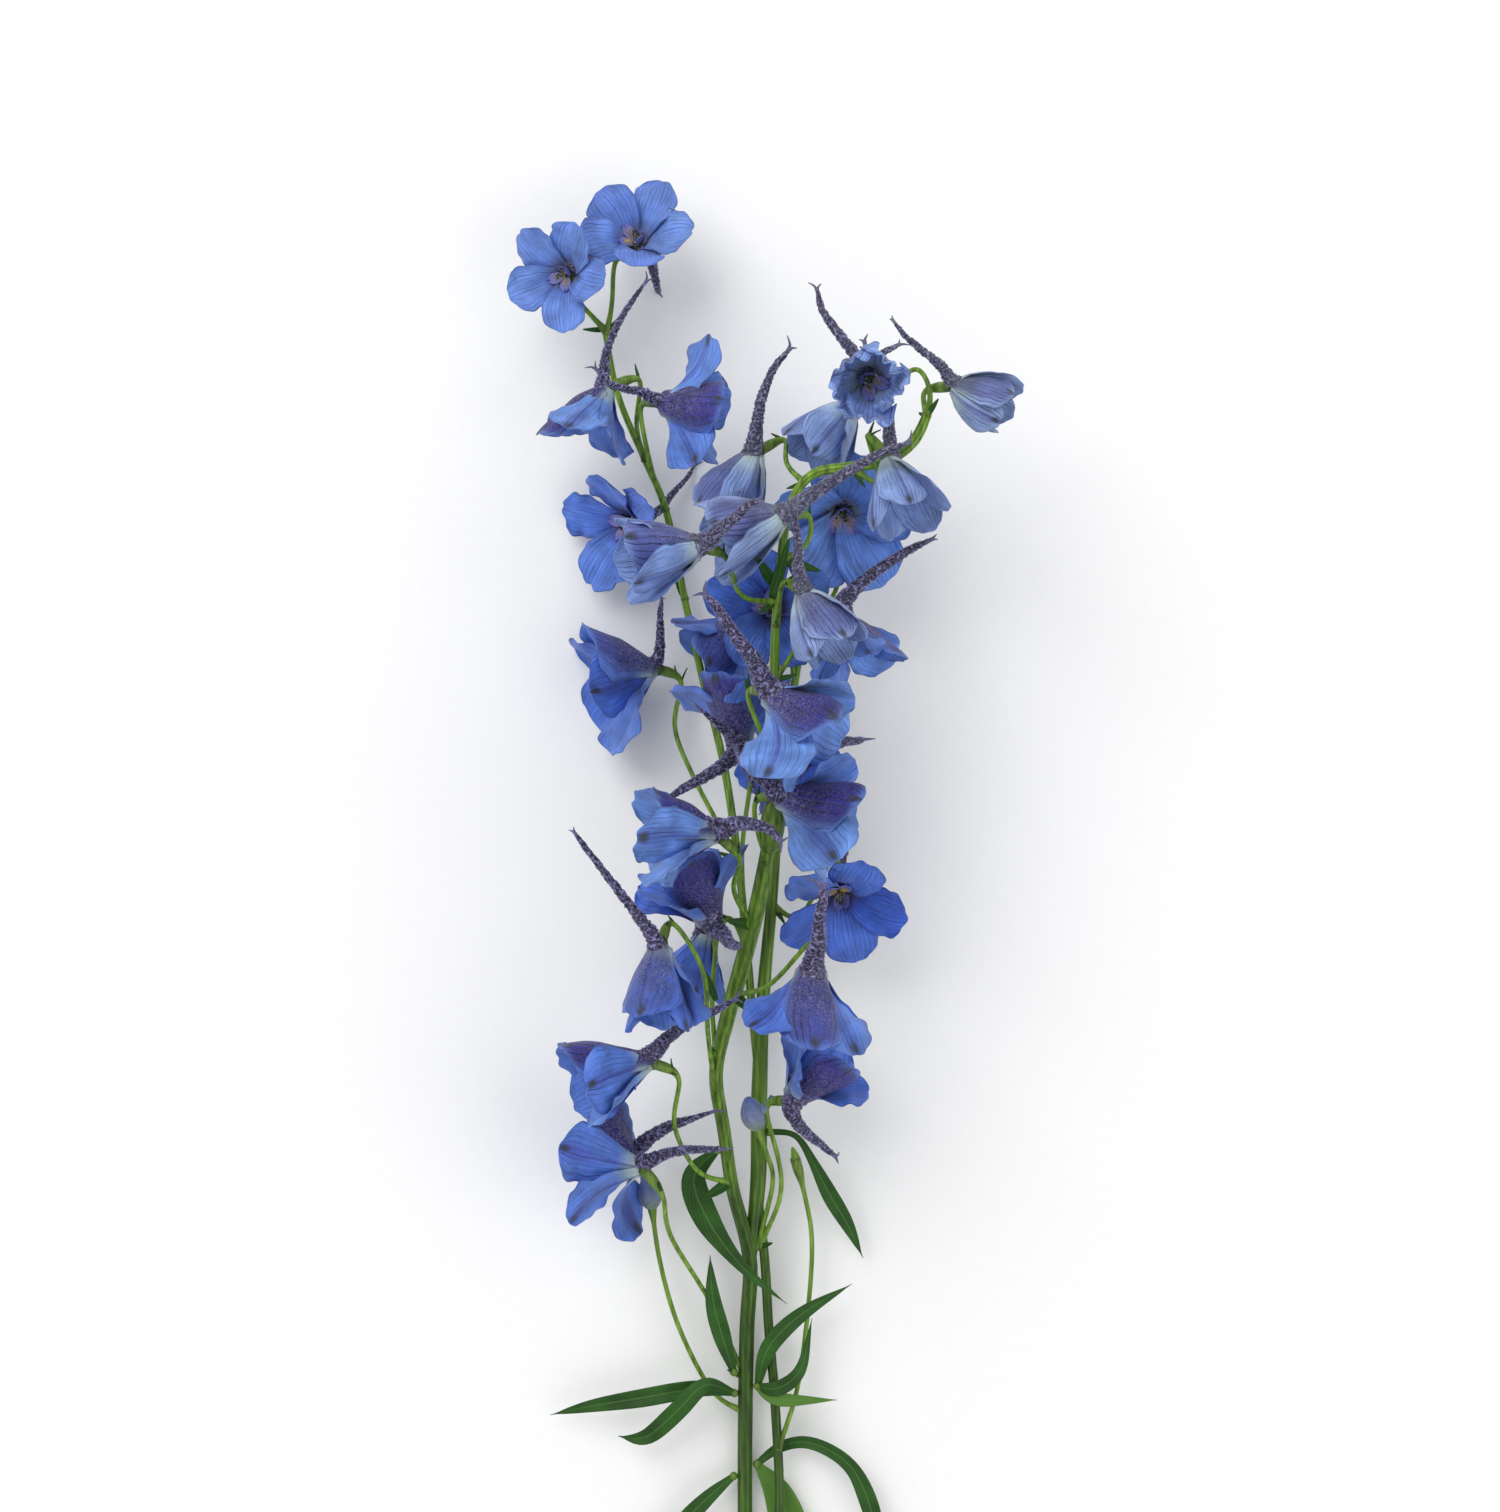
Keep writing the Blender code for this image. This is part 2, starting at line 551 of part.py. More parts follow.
def stem():
    """The cut stem with its branches and every floret's stalk."""
    pieces = []
    for name, places in AXES.items():
        points = [(*seen(place), place[3]) for place in places]
        pieces.append(tube(name, smooth_route(points, AXIS_STEP)))
    for floret in FLORETS:
        pieces.append(stalk(floret))
        if floret.bract:
            pieces.append(bract(floret))
    for middle, spur_tip, places in BUDS.values():
        back = (seen(middle) - seen(places[-1])).normalized()
        end = seen(middle) - (BUD_HALF_LENGTH + JOIN_GAP) * back
        points = [(*seen(place), STALK_RADIUS) for place in places] + [(*end, STALK_RADIUS)]
        pieces.append(tube("bud_stalk", smooth_route(points, STALK_STEP), sides=4))
    middle, places = POD
    points = [(*seen(place), STALK_RADIUS) for place in places] + [(*seen(middle), STALK_RADIUS)]
    pieces.append(tube("pod_stalk", smooth_route(points, STALK_STEP), sides=4))
    axis = (seen(middle) - seen(places[-1])).normalized()
    pieces.append(ball("pod", seen(middle), axis, POD_RADIUS, POD_HALF_LENGTH, segments=6, rings=4))
    return fuse("stem", pieces, "Stem green")


def bud(name, middle, spur_tip, places):
    """A closed bud with its stubby spur, just clear of its stalk."""
    axis = (seen(middle) - seen(places[-1])).normalized()
    pieces = [ball("bud", seen(middle), axis, BUD_RADIUS, BUD_HALF_LENGTH, segments=7, rings=5)]
    steps = len(BUD_SPUR_RADII) - 1
    spine = [(*seen(middle).lerp(seen(spur_tip), step / steps), radius)
             for step, radius in enumerate(BUD_SPUR_RADII)]
    pieces.append(tube("bud_spur", spine))
    return fuse("bud_" + name, pieces, "Bud grey green")


def leaf(name, sheath, lobes):
    """A leaf: the sheath beside the stem and the lobes that leave it."""
    side = Vector((0.0, 0.0, 1.0))
    pieces = [ball("sheath", seen(sheath), side, SHEATH_RADIUS, SHEATH_RADIUS, segments=6, rings=4)]
    for places in lobes:
        pieces.append(leaf_lobe("lobe", ((*sheath, LOBE_ROOT_WIDTH), *places)))
    return fuse(name, pieces, "Leaf green")


def main():
    clear_scene()
    stem()
    for floret in FLORETS:
        calyx(floret)
        if floret.centre:
            centre(floret)
    for name, places in BUDS.items():
        bud(name, *places)
    for name, places in LEAVES.items():
        leaf(name, *places)


if __name__ == "__main__":
    main()
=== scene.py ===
"""Delphinium flower spike: the looks of one cut, branched flowering stem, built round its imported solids.

The stem lies along Y with its cut end towards -Y, on a pale table at z = 0, and the camera looks straight down.
A place is given as (across, down, height): across and down are pixels of a 1500 x 1512 picture of that view,
and the height is in millimetres above the table. Shapes are worked out in millimetres and written in metres.
"""

import math
import random
from dataclasses import dataclass, field

import bmesh
import bpy
import numpy as np
from bpy.props import FloatProperty, FloatVectorProperty, IntProperty, PointerProperty
from mathutils import Matrix, Vector, noise


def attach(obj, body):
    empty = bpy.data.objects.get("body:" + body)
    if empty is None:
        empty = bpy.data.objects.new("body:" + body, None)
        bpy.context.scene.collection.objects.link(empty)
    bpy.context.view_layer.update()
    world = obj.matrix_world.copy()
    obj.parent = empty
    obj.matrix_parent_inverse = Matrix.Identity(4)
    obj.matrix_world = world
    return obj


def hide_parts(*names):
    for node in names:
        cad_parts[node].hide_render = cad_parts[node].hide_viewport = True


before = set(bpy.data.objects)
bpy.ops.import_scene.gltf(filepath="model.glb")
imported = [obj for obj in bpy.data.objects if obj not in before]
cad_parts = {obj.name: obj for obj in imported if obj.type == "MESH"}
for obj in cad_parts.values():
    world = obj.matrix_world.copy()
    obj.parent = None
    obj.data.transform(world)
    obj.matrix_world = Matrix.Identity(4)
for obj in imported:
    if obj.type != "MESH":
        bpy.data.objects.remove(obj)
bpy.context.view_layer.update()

bl_info = {
    "name": "Delphinium flower spike",
    "version": (1, 0, 0),
    "blender": (4, 5, 0),
    "location": "3D View > Sidebar > Delphinium",
    "description": "Builds a cut delphinium stem with its spurred florets, buds, stalks and leaves",
    "category": "Add Mesh",
}

MM = 0.001

# The view that places are read in: its middle, its scale at one height, and the eye above the table.
VIEW_MIDDLE = (750, 756)
VIEW_SCALE = 0.28
SCALE_HEIGHT = 40
EYE_HEIGHT = 900
# The solids' middle in that view's millimetres, which is their origin.
BOX_MIDDLE = (3.4, -58.7)

# The stage, in metres and watts
TABLE_HALF = 3.0
SKY_STRENGTH = 0.70
SENSOR_WIDTH = 36.0
# Each lamp's name, place, width and power
LAMPS = (("key", (-0.55, 0.75, 1.1), 0.9, 8.4), ("fill", (0.9, -0.5, 1.0), 1.2, 4.4))

# Below this height, in millimetres, shapes are pressed flatter the lower they go, so that none passes the table
TABLE_GAP = 1.5

# Angles are in degrees and sizes in millimetres for a floret of size 1
SEPAL_TURNS = (0, 72, 144, 216, 288)
SEPAL_ROLL = 13
SEPAL_ROOT = 2.1
HUB_RADIUS = 2.5
JOIN_GAP = 0.3
# Half widths of a sepal along it, from its foot to its tip, against its widest place
OUTLINE_PLACES = (0, 0.15, 0.35, 0.55, 0.72, 0.84, 0.93, 1.0)
OPEN_OUTLINE = (0.32, 0.46, 0.72, 0.92, 1.0, 0.98, 0.86, 0.62)
CLOSED_OUTLINE = (0.50, 0.68, 0.92, 1.03, 1.03, 0.96, 0.82, 0.56)
HOOD_OUTLINE = (0.46, 0.62, 0.88, 1.04, 1.06, 0.98, 0.83, 0.56)
SEPAL_ROWS, SEPAL_COLUMNS = 31, 17
# The hood of a floret that opens less than BELL_FLARE is a narrow helmet, with these tilts unless its row says
BELL_FLARE = 70
HELMET_TILTS = (34, 8)
HELMET_WIDTH = 1.25

# A spur's radius along it, and that of the funnel by which it widens into the hood, against its full one
SPUR_PLACES = (0.0, 0.03, 0.08, 0.16, 0.3, 0.5, 0.7, 0.85, 0.95, 1.0)
SPUR_RADII = (1.22, 1.18, 1.1, 0.98, 0.8, 0.64, 0.53, 0.44, 0.36, 0.24)
FUNNEL_DEPTHS = (0.5, 2.5, 5.0, 7.5)
FUNNEL_RADII = (1.28, 1.36, 1.3, 0.8)
SPUR_RINGS, FUNNEL_RINGS, SPUR_SIDES = 108, 14, 40
SIDE_SPUR_PLACES = (0.0, 0.3, 0.7, 1.0)
SIDE_SPUR_RADII = (1.0, 0.85, 0.5, 0.18)
SIDE_SPUR_SIDES = 28
# Steps of the warts' noise in a millimetre
WART_SCALE = 0.8
# The boss where a stalk becomes a floret, from the stalk on
BOSS_RADII = (1.15, 1.5, 1.8, 2.0, 2.05, 1.9, 1.5, 0.8)

# The inner petals: where each stands round the floret, and the tilts, length and width of a lower and an upper one
PETAL_TURNS = (38, 142, 218, 322)
LOWER_PETAL = ((32, 68), 7.4, 4.2)
UPPER_PETAL = ((20, 8), 6.8, 3.2)
PETAL_ROWS, PETAL_COLUMNS = 12, 9
PETAL_WALL = 0.3
STAMEN_LENGTH = 4.2
# How far a stamen leans out at most, in radians
STAMEN_LEAN = 0.55
# How far the tuft of stamens stands in front of the floret's base
TUFT_PLACE = 1.8
HAIR_LENGTH = 1.1
# Younger florets than this keep their middle closed
OPEN_AGE = 0.25

BUD_LENGTH, BUD_RADIUS = 10.4, 3.8
BUD_SPUR_RADII = (1.7, 1.25, 0.6)
POD_LENGTH, POD_RADIUS = 6.6, 1.6
# The straight end of a stalk, under its floret
NECK_LENGTH = 7.0
CAP_RADIUS = 3.0
AXIS_SIDES, CAP_SIDES, STALK_SIDES = 42, 28, 12
# Lengths and widths of the leaf below a stalk's root
LARGE_BRACT, SMALL_BRACT = (11.0, 3.4), (6.5, 1.6)
BLADE_WALL, LOBE_WALL = 0.28, 0.35


@dataclass
class Floret:
    """One flower: its base, its spur's tip, the way it faces, how far it opens, its size and its stalk's points.

    centre tells that the solids have a middle for it, and bract that its stalk has a large one. up is where its
    hood looks, if not along the spur, and hood the tilts of that upper sepal. For single sepals, by their number,
    bend and lean are added to the tip's tilt, roll turns them about their length and trim multiplies it. broad is
    the sepals' width, crimp how ruffled their edges are and stout the spur's thickness, all against the usual
    ones. age runs from 0 for a closed, greyish young floret to 1 for a fully open one, deep is how much darker and
    bluer than the others it is, and dusk how purple its hood. A side spur is its root, bend, tip and root radius.
    """

    name: str
    base: tuple
    spur_tip: tuple
    face: tuple
    flare: tuple
    size: float
    stalk: tuple
    centre: bool = False
    bract: bool = False
    up: tuple = None
    hood: tuple = HELMET_TILTS
    bend: dict = field(default_factory=dict)
    lean: dict = field(default_factory=dict)
    roll: dict = field(default_factory=dict)
    trim: dict = field(default_factory=dict)
    broad: float = 1.0
    crimp: float = 1.0
    age: float = 1.0
    deep: float = 0.4
    dusk: float = 1.0
    stout: float = 1.0
    side_spurs: tuple = ()


FLORETS = (
    # The left spike, from its top down
    Floret("L1", (570, 274, 25), (622, 246, 5), (200, 65), (26, 84), 0.74, ((605, 330, 19),), centre=True, broad=1.12,
           age=0.85, deep=0.45),
    Floret("L2", (636, 247, 20), (658, 296, 2.5), (90, 60), (26, 82), 0.77, ((606, 335, 19), (612, 305, 18)),
           centre=True, broad=1.18, age=0.85, deep=0.5),
    Floret("L3", (660, 402, 36), (595, 375, 48), (-12, 12), (24, 62), 0.9,
           ((666, 510, 14), (654, 478, 21), (645, 440, 28)), lean={1: 35}, roll={1: -50, 4: 55}, broad=1.25, deep=0.5,
           stout=0.7),
    Floret("L4", (608, 388, 32), (645, 283, 33), (240, 0), (22, 60), 0.9, ((645, 460, 16), (636, 425, 24)),
           roll={1: -25}, broad=1.2, deep=0.3, stout=0.7),
    Floret("L5", (636, 522, 11), (697, 470, 2), (200, 45), (30, 84), 0.88, ((685, 600, 10), (676, 560, 9)),
           centre=True, up=(20, 20), lean={1: -24, 4: -24}, broad=1.12, deep=0.6, stout=0.65),
    Floret("L6", (655, 668, 12.22), (660, 600, 15.6), (200, 15), (24, 66), 1.06,
           ((738, 860, 17), (694, 778, 15), (674, 725, 11)), up=(95, 25), hood=(52, 40), lean={1: -42}, broad=1.25,
           deep=0.6, dusk=0.75, stout=0.65),
    Floret("L7", (745, 619, 15.6), (800, 588, 11), (228, 12), (24, 56), 0.85, ((711, 708, 10), (752, 680, 13)),
           up=(48, 70), bend={0: -18}, broad=1.15, deep=0.6, dusk=0.6, stout=0.8),
    Floret("L8", (740, 745, 42.5), (667, 797, 54), (95, 10), (24, 62), 0.98, ((746, 930, 18), (742, 850, 28)),
           up=(200, 62), bend={2: -4, 4: -20}, roll={1: -40}, broad=1.28, deep=0.5,
           side_spurs=(((742, 742, 46), (722, 728, 52), (700, 709, 56), 1.9),
                       ((741, 748, 42), (748, 772, 44), (762, 806, 47), 1.1))),
    # The front spike and the back axis, from their tops down
    Floret("R1", (870, 378, 70), (812, 295, 63), (250, 75), (42, -4), 0.86,
           ((927, 416, 66), (931, 392, 67), (916, 366, 63)), centre=True, broad=1.05, crimp=4.0, age=0.45, deep=0.5),
    Floret("R2", (953, 386, 66), (893, 325, 74), (-25, 5), (40, -8), 0.74, ((927, 416, 66),), broad=1.1, age=0.0),
    Floret("R3", (852, 405, 46.5), (895, 342, 38), (230, 12), (32, 10), 0.87, ((852, 467, 60), (886, 448, 50)),
           broad=1.1, age=0.3),
    Floret("R4", (757, 452, 45), (785, 348, 54), (240, -5), (34, 6), 0.88, ((805, 483, 60), (786, 464, 53)),
           broad=1.1, age=0.35),
    Floret("R5", (888, 460, 70), (862, 345, 50), (-72, 20), (34, 14), 0.88, ((852, 468, 61), (880, 484, 63)),
           broad=1.05, age=0.3),
    Floret("R6", (842, 510, 22.5), (836, 452, 0.31), (-80, 68), (26, 80), 1.0, ((800, 650, 18), (840, 580, 17)),
           centre=True, broad=1.25, deep=0.25, dusk=0.15),
    Floret("R7", (702, 547, 76), (757, 495, 91), (190, 10), (34, 14), 0.95, ((776, 602, 57), (740, 596, 62)),
           broad=1.15, age=0.52),
    Floret("R8", (786, 515, 64), (905, 440, 83), (200, 5), (34, 8), 0.98, ((782, 560, 58), (808, 545, 56)),
           bract=True, broad=1.15, age=0.15),
    Floret("R9", (802, 592, 73), (790, 510, 85), (-60, 15), (36, 2), 0.85, ((776, 625, 57),), broad=1.1, age=0.1),
    Floret("R11", (835, 615, 49.5), (928, 540, 52), (-60, 10), (24, 60), 0.95, ((775, 680, 55), (800, 640, 55)),
           deep=0.3),
    Floret("R12", (768, 692, 71), (710, 592, 81), (-38, 20), (24, 64), 1.08, ((775, 760, 52), (760, 730, 62)),
           bract=True, lean={1: -20, 4: 12}, roll={4: 50}, trim={1: 0.82, 4: 1.3}, broad=1.2, deep=0.05),
    Floret("R13", (778, 795, 60), (735, 755, 66), (-20, 15), (24, 62), 1.05, ((769, 865, 46), (757, 830, 52)),
           lean={1: -14, 4: -14}, roll={4: 32}, trim={1: 0.9, 4: 1.2}, broad=1.12, deep=0.2),
    Floret("R14", (718, 835, 64.5), (780, 833, 82.5), (175, 10), (24, 62), 1.0, ((752, 925, 42), (733, 890, 48)),
           bract=True, up=(88, 20), hood=(36, 12), lean={1: -24, 2: -14, 4: -26}, trim={0: 0.82, 1: 1.12}, broad=1.2,
           deep=0.1),
    Floret("R15", (712, 925, 43), (742, 945, 65), (114, 10), (24, 60), 0.95, ((716, 1060, 29), (712, 1000, 33)),
           broad=1.2, deep=0.6),
    Floret("R16", (660, 945, 59), (575, 835, 62), (-88, 10), (20, 14), 0.98,
           ((716, 1095, 26), (708, 1035, 38), (703, 970, 54)), up=(150, 55), hood=(36, 24), broad=1.15, deep=0.6,
           dusk=0.3, stout=0.75),
    Floret("R17", (840, 888, 26), (842, 848, 3), (-90, 55), (26, 82), 0.86, ((773, 905, 17), (800, 918, 17)),
           centre=True, broad=1.12, deep=0.8),
    Floret("R18", (812, 965, 66), (828, 888, 84), (-95, 10), (24, 56), 1.02, ((735, 995, 36), (770, 985, 50)),
           bract=True, lean={1: -24, 4: -6}, roll={1: -45, 4: 15}, trim={1: 1.1}, broad=1.15, deep=0.5, dusk=0.8),
    Floret("R19", (790, 1100, 30), (832, 1152, 16), (50, 10), (24, 56), 0.92, ((760, 1247, 13), (782, 1185, 20)),
           up=(-30, 55), roll={1: 25, 4: -25}, broad=1.25, deep=0.5),
    Floret("R20", (650, 1062, 46), (735, 1003, 58), (195, 10), (24, 46), 1.0,
           ((730, 1182, 19), (698, 1172, 25), (674, 1125, 36)), bract=True, up=(115, 20),
           lean={1: -8, 2: -16, 3: -10, 4: -28}, broad=1.12, stout=0.85),
    Floret("R21", (643, 1168, 34), (723, 1150, 44), (172, -30), (24, 70), 0.98,
           ((745, 1378, 7), (712, 1305, 11), (670, 1235, 28)), up=(60, 20), lean={3: 50}, trim={3: 1.35}, broad=1.2,
           deep=0.6, stout=0.8, side_spurs=(((624, 1160, 22), (660, 1131, 30), (712, 1112, 33), 2.7),)),
    Floret("R22", (706, 935, 14), (700, 866, 6), (-108, 5), (24, 32), 0.8, ((747, 950, 18),), deep=0.6),
    Floret("R24", (812, 757, 24), (866, 742, 10), (180, 50), (26, 78), 0.9, ((779, 815, 18), (810, 800, 16)),
           centre=True, deep=0.7),
    Floret("R25", (774, 612, 31), (822, 668, 14), (150, 80), (26, 76), 0.9, ((789, 720, 18), (792, 660, 22)),
           centre=True, bend={4: 8}, deep=0.6),
)

# A closed bud: its middle, the end of its stubby spur, and the stalk's points from the stem outwards
BUDS = {
    "R23": ((753, 1114, 22), (772, 1096, 25), ((757, 1249, 13), (773, 1183, 18), (768, 1158, 20))),
    "R21_side": ((650, 1192, 10), (640, 1168, 10), ((744, 1412, 6), (713, 1392, 6), (680, 1330, 9), (660, 1262, 10))),
}

# Larger bracts of the stem: the root, the tip and the width of each, and where the backs of bracts look
BRACTS = (((772, 598, 58), (791, 535, 64), 3.4), ((774, 585, 58), (752, 553, 66), 3.4),
          ((771, 846, 49), (785, 808, 55), 2.8), ((716, 1000, 37), (700, 962, 44), 2.4))
BRACT_BACK = np.array((0.0, 0.15, 1.0))

# A green pod on a stalk of its own: its middle and the stalk's points from the stem outwards
POD = ((795, 1158, 13), ((778, 1450, 8.6), (797, 1390, 8.6), (808, 1310, 8.5), (812, 1240, 9), (804, 1192, 11)))

# Leaves: each is a small sheath beside the stem and the lobes that leave it. A lobe's points are (across, down,
# height, half width), from the first one past the sheath to the tip.
LEAVES = {
    "leaf_left": ((734.4, 1393, 7), (
        ((700, 1388, 11.5, 2.4), (640, 1398, 12, 2.6), (590, 1406, 9, 1.8), (550, 1415, 5, 0)),
        ((705, 1384, 15, 2.2), (680, 1408, 15, 2.8), (645, 1438, 10, 2.2), (618, 1436, 7, 0)),
    )),
    "leaf_left_upright": ((734, 1372, 8), (
        ((722, 1335, 13, 2.6), (713, 1300, 15, 2.3), (710, 1255, 15, 0)),
    )),
    "leaf_right": ((757.5, 1386, 8), (
        ((768, 1348, 13.5, 2.4), (800, 1315, 14.5, 2.2), (852, 1284, 12, 0)),
        ((776, 1389, 13.5, 2.2), (800, 1372, 14, 1.8), (812, 1318, 15, 0)),
        ((776, 1399, 13, 2.2), (805, 1400, 12.5, 1.3), (837, 1400, 10, 0)),
    )),
    "leaf_low_right": ((757, 1464, 4.4), (
        ((779, 1447, 4.4, 1.6), (810, 1442, 7, 1.8), (850, 1465, 8, 2.0), (872, 1512, 7, 2.6), (886, 1575, 3, 0)),
        ((778, 1492, 3.4, 4.2), (792, 1535, 3.2, 5.6), (806, 1590, 3, 4.0), (812, 1640, 3, 0)),
    )),
    "leaf_low_left": ((733.6, 1476, 4.6), (
        ((705, 1500, 7, 2.3), (675, 1535, 6, 2.4), (650, 1600, 3, 0)),
    )),
    "leaf_fork": ((717.5, 1150, 20.7), (
        ((693, 1176, 18, 3.4), (705, 1215, 19, 3.8), (728, 1250, 20, 2.3), (752, 1276, 19, 1.3),
         (787, 1304, 15, 0)),
    )),
    "leaf_hanging": ((769, 1132, 14.5), (
        ((795, 1134, 16, 0.8), (812, 1160, 15, 1.3), (830, 1195, 12, 2.4), (848, 1225, 9, 1.9),
         (863, 1258, 5, 0)),
    )),
}

# Lobes of a lighter, yellower green, as the leaf and the number of the lobe
FRESH_LOBES = (("leaf_low_right", 1), ("leaf_right", 2))

# Points of each green axis as (across, down, height, radius), from its root to its tip.
AXES = {
    "main": ((745, 1726, 1.91, 2.2), (745, 1600, 2.5, 2.1), (745, 1450, 5, 2.1), (747, 1330, 9, 2.15),
             (750, 1258, 13, 2.1), (733, 1190, 18, 1.9), (724, 1130, 23, 1.85), (716, 1075, 28, 1.95),
             (727, 1020, 34, 2.15), (745, 955, 40, 2.35), (762, 885, 45, 2.3), (773, 810, 50, 1.8),
             (775, 720, 54, 1.4), (775, 640, 56, 1.3), (781, 560, 58, 1.2), (790, 505, 59, 1.15),
             (812, 474, 60, 1.3), (850, 467, 61, 1.45), (888, 460, 63, 1.6), (915, 440, 65, 1.5),
             (927, 415, 66, 1.25)),
    "back": ((750, 1258, 13, 1.8), (758, 1180, 14, 2.25), (759, 1100, 15, 2.3), (763, 1000, 16, 1.9),
             (772, 900, 17, 1.6), (778, 820, 18, 1.4), (788, 730, 18, 1.25), (800, 650, 18, 1.1)),
    "left": ((759, 1085, 15, 1.1), (752, 1010, 17, 1.15), (746, 940, 18, 1.15), (738, 860, 17, 1.15),
             (724, 765, 13, 1.1), (703, 680, 8.5, 1.05), (685, 600, 10, 1.0), (666, 510, 14, 1.0),
             (645, 460, 16, 0.95), (618, 395, 18, 0.9), (604, 325, 19, 0.85)),
    "side": ((745, 1650, 2.4, 1.2), (766, 1580, 5, 1.3), (779, 1512, 7.5, 1.35), (775, 1401, 9, 1.35),
             (769, 1330, 9.5, 1.35), (765, 1261, 12, 1.35), (758, 1195, 14, 1.3)),
}

# The middle line of the swollen green cap on the node, from its top down
NODE_CAP = ((777, 796, 55.5), (775, 806, 54.5), (772, 828, 51.5), (769, 850, 48.5))


# Sizes and colours that a user would change

def linear(hex_colour):
    """The linear RGBA of an sRGB hex colour."""
    parts = [int(hex_colour[index:index + 2], 16) / 255 for index in (1, 3, 5)]
    return (*[c / 12.92 if c <= 0.04045 else ((c + 0.055) / 1.055) ** 2.4 for c in parts], 1.0)


def length_property(title, about, millimetres):
    """A length setting."""
    return FloatProperty(name=title, description=about, default=millimetres * MM, unit="LENGTH")


def colour_property(title, about, hex_colour):
    """A colour setting whose default is an sRGB hex value."""
    return FloatVectorProperty(name=title, description=about, default=linear(hex_colour), size=4, min=0, max=1,
                               subtype="COLOR")


class DelphiniumSizes(bpy.types.PropertyGroup):
    sepal_length: length_property("Sepal length", "Length of a sepal of a floret of size 1", 25)
    sepal_width: length_property("Sepal width", "Width of a sepal of a floret of size 1", 16)
    sepal_wall: length_property("Sepal wall", "Thickness of a sepal along its middle", 0.4)
    spur_radius: length_property("Spur radius", "Radius of a spur where it leaves its floret", 2.9)
    stalk_radius: length_property("Stalk radius", "Radius of a flower stalk at its middle", 0.68)
    stem_ribs: IntProperty(name="Stem ribs", description="Number of low ribs round a stem", default=7, min=0)
    stamen_count: IntProperty(name="Stamens", description="Number of stamens in an open floret", default=14, min=1)
    beard_density: FloatProperty(name="Beard density", description="Hairs on a square millimetre of beard",
                                 default=7.0, min=0.0)


class DelphiniumColours(bpy.types.PropertyGroup):
    sepal: colour_property("Sepal", "Inner face of an open sepal", "#6A92D8")
    sepal_deep: colour_property("Deep sepal", "Inner face of a sepal on a darker floret", "#3A62CC")
    sepal_young: colour_property("Young sepal", "Face of a sepal on a young floret", "#9AB2E2")
    sepal_foot: colour_property("Sepal foot", "The pale foot of a sepal", "#B2C6BC")
    hood: colour_property("Hood", "Outside of the spurred upper sepal", "#2E2B8A")
    spur: colour_property("Spur", "Skin of a spur between its warts", "#0B071E")
    # The warts' lilac is partly their own paler tone and partly painted highlight on the ridge tops
    wart: colour_property("Warts", "Tops of the warts and wrinkles on a spur", "#A49DD4")
    stem: colour_property("Stem", "Skin of the stem and the stalks", "#2C4C0A")
    leaf: colour_property("Leaf", "Upper face of a leaf", "#143A05")


# Places and routes

def seen(place):
    """The point, in millimetres, of a place given as (across, down, height)."""
    across, down, height = place[:3]
    spread = VIEW_SCALE * (EYE_HEIGHT - height) / (EYE_HEIGHT - SCALE_HEIGHT)
    x = (across - VIEW_MIDDLE[0]) * spread - BOX_MIDDLE[0]
    y = (VIEW_MIDDLE[1] - down) * spread - BOX_MIDDLE[1]
    return np.array((x, y, height), dtype=float)


def heading(turn, rise):
    """A unit vector: turn is its direction in the view in degrees from +X, rise its tilt above the table."""
    turn, rise = math.radians(turn), math.radians(rise)
    return np.array((math.cos(turn) * math.cos(rise), math.sin(turn) * math.cos(rise), math.sin(rise)))


def unit(vectors):
    """Vectors of length one."""
    return vectors / np.maximum(np.linalg.norm(vectors, axis=-1, keepdims=True), 1e-9)


def ramp(values, low, high):
    """A smooth step from 0 at low to 1 at high."""
    t = np.clip((np.asarray(values, dtype=float) - low) / (high - low), 0.0, 1.0)
    return t * t * (3 - 2 * t)


def wave(turns):
    """A sine wave that repeats at every whole number."""
    return np.sin(2 * math.pi * turns)


def evened(values):
    """The values, each but the ends averaged with its neighbours."""
    values[1:-1] = 0.5 * values[1:-1] + 0.25 * (values[:-2] + values[2:])
    return values


def smooth_route(points, step, rounds=0):
    """Points about one step apart on a Catmull-Rom curve through the given rows of numbers.

    rounds of averaging then take out what kinks are left, with both ends held.
    """
    points = [np.asarray(point, dtype=float) for point in points]
    guides = [2 * points[0] - points[1], *points, 2 * points[-1] - points[-2]]
    route = [points[0]]
    for a, b, c, d in zip(guides, guides[1:], guides[2:], guides[3:]):
        count = max(1, round(float(np.linalg.norm((c - b)[:3])) / step))
        for index in range(1, count + 1):
            t = index / count
            route.append(0.5 * (2 * b + (c - a) * t + (2 * a - 5 * b + 4 * c - d) * t * t
                                + (3 * b - a - 3 * c + d) * t ** 3))
    route = np.array(route)
    for _ in range(rounds):
        evened(route)
    return route


def distances(route):
    """How far along the route each of its points is."""
    return np.concatenate([[0.0], np.cumsum(np.linalg.norm(np.diff(route, axis=0), axis=1))])


# Meshes

def linked(name, data):
    """A new object of the scene."""
    made = bpy.data.objects.new(name, data)
    bpy.context.scene.collection.objects.link(made)
    return made


def finished(mesh, materials):
    """The mesh, smooth and with its materials."""
    for slot in materials:
        mesh.materials.append(slot)
    mesh.polygons.foreach_set("use_smooth", np.ones(len(mesh.polygons), dtype=bool))
    return mesh


def grid_faces(rows, columns, closed=False):
    """The faces of a grid of points that are numbered row by row. A closed grid goes on round to its start."""
    number = np.arange(rows * columns).reshape(rows, columns)
    if closed:
        number = np.concatenate([number, number[:, :1]], axis=1)
    return [(int(number[i, j]), int(number[i, j + 1]), int(number[i + 1, j + 1]), int(number[i + 1, j]))
            for i in range(rows - 1) for j in range(number.shape[1] - 1)]


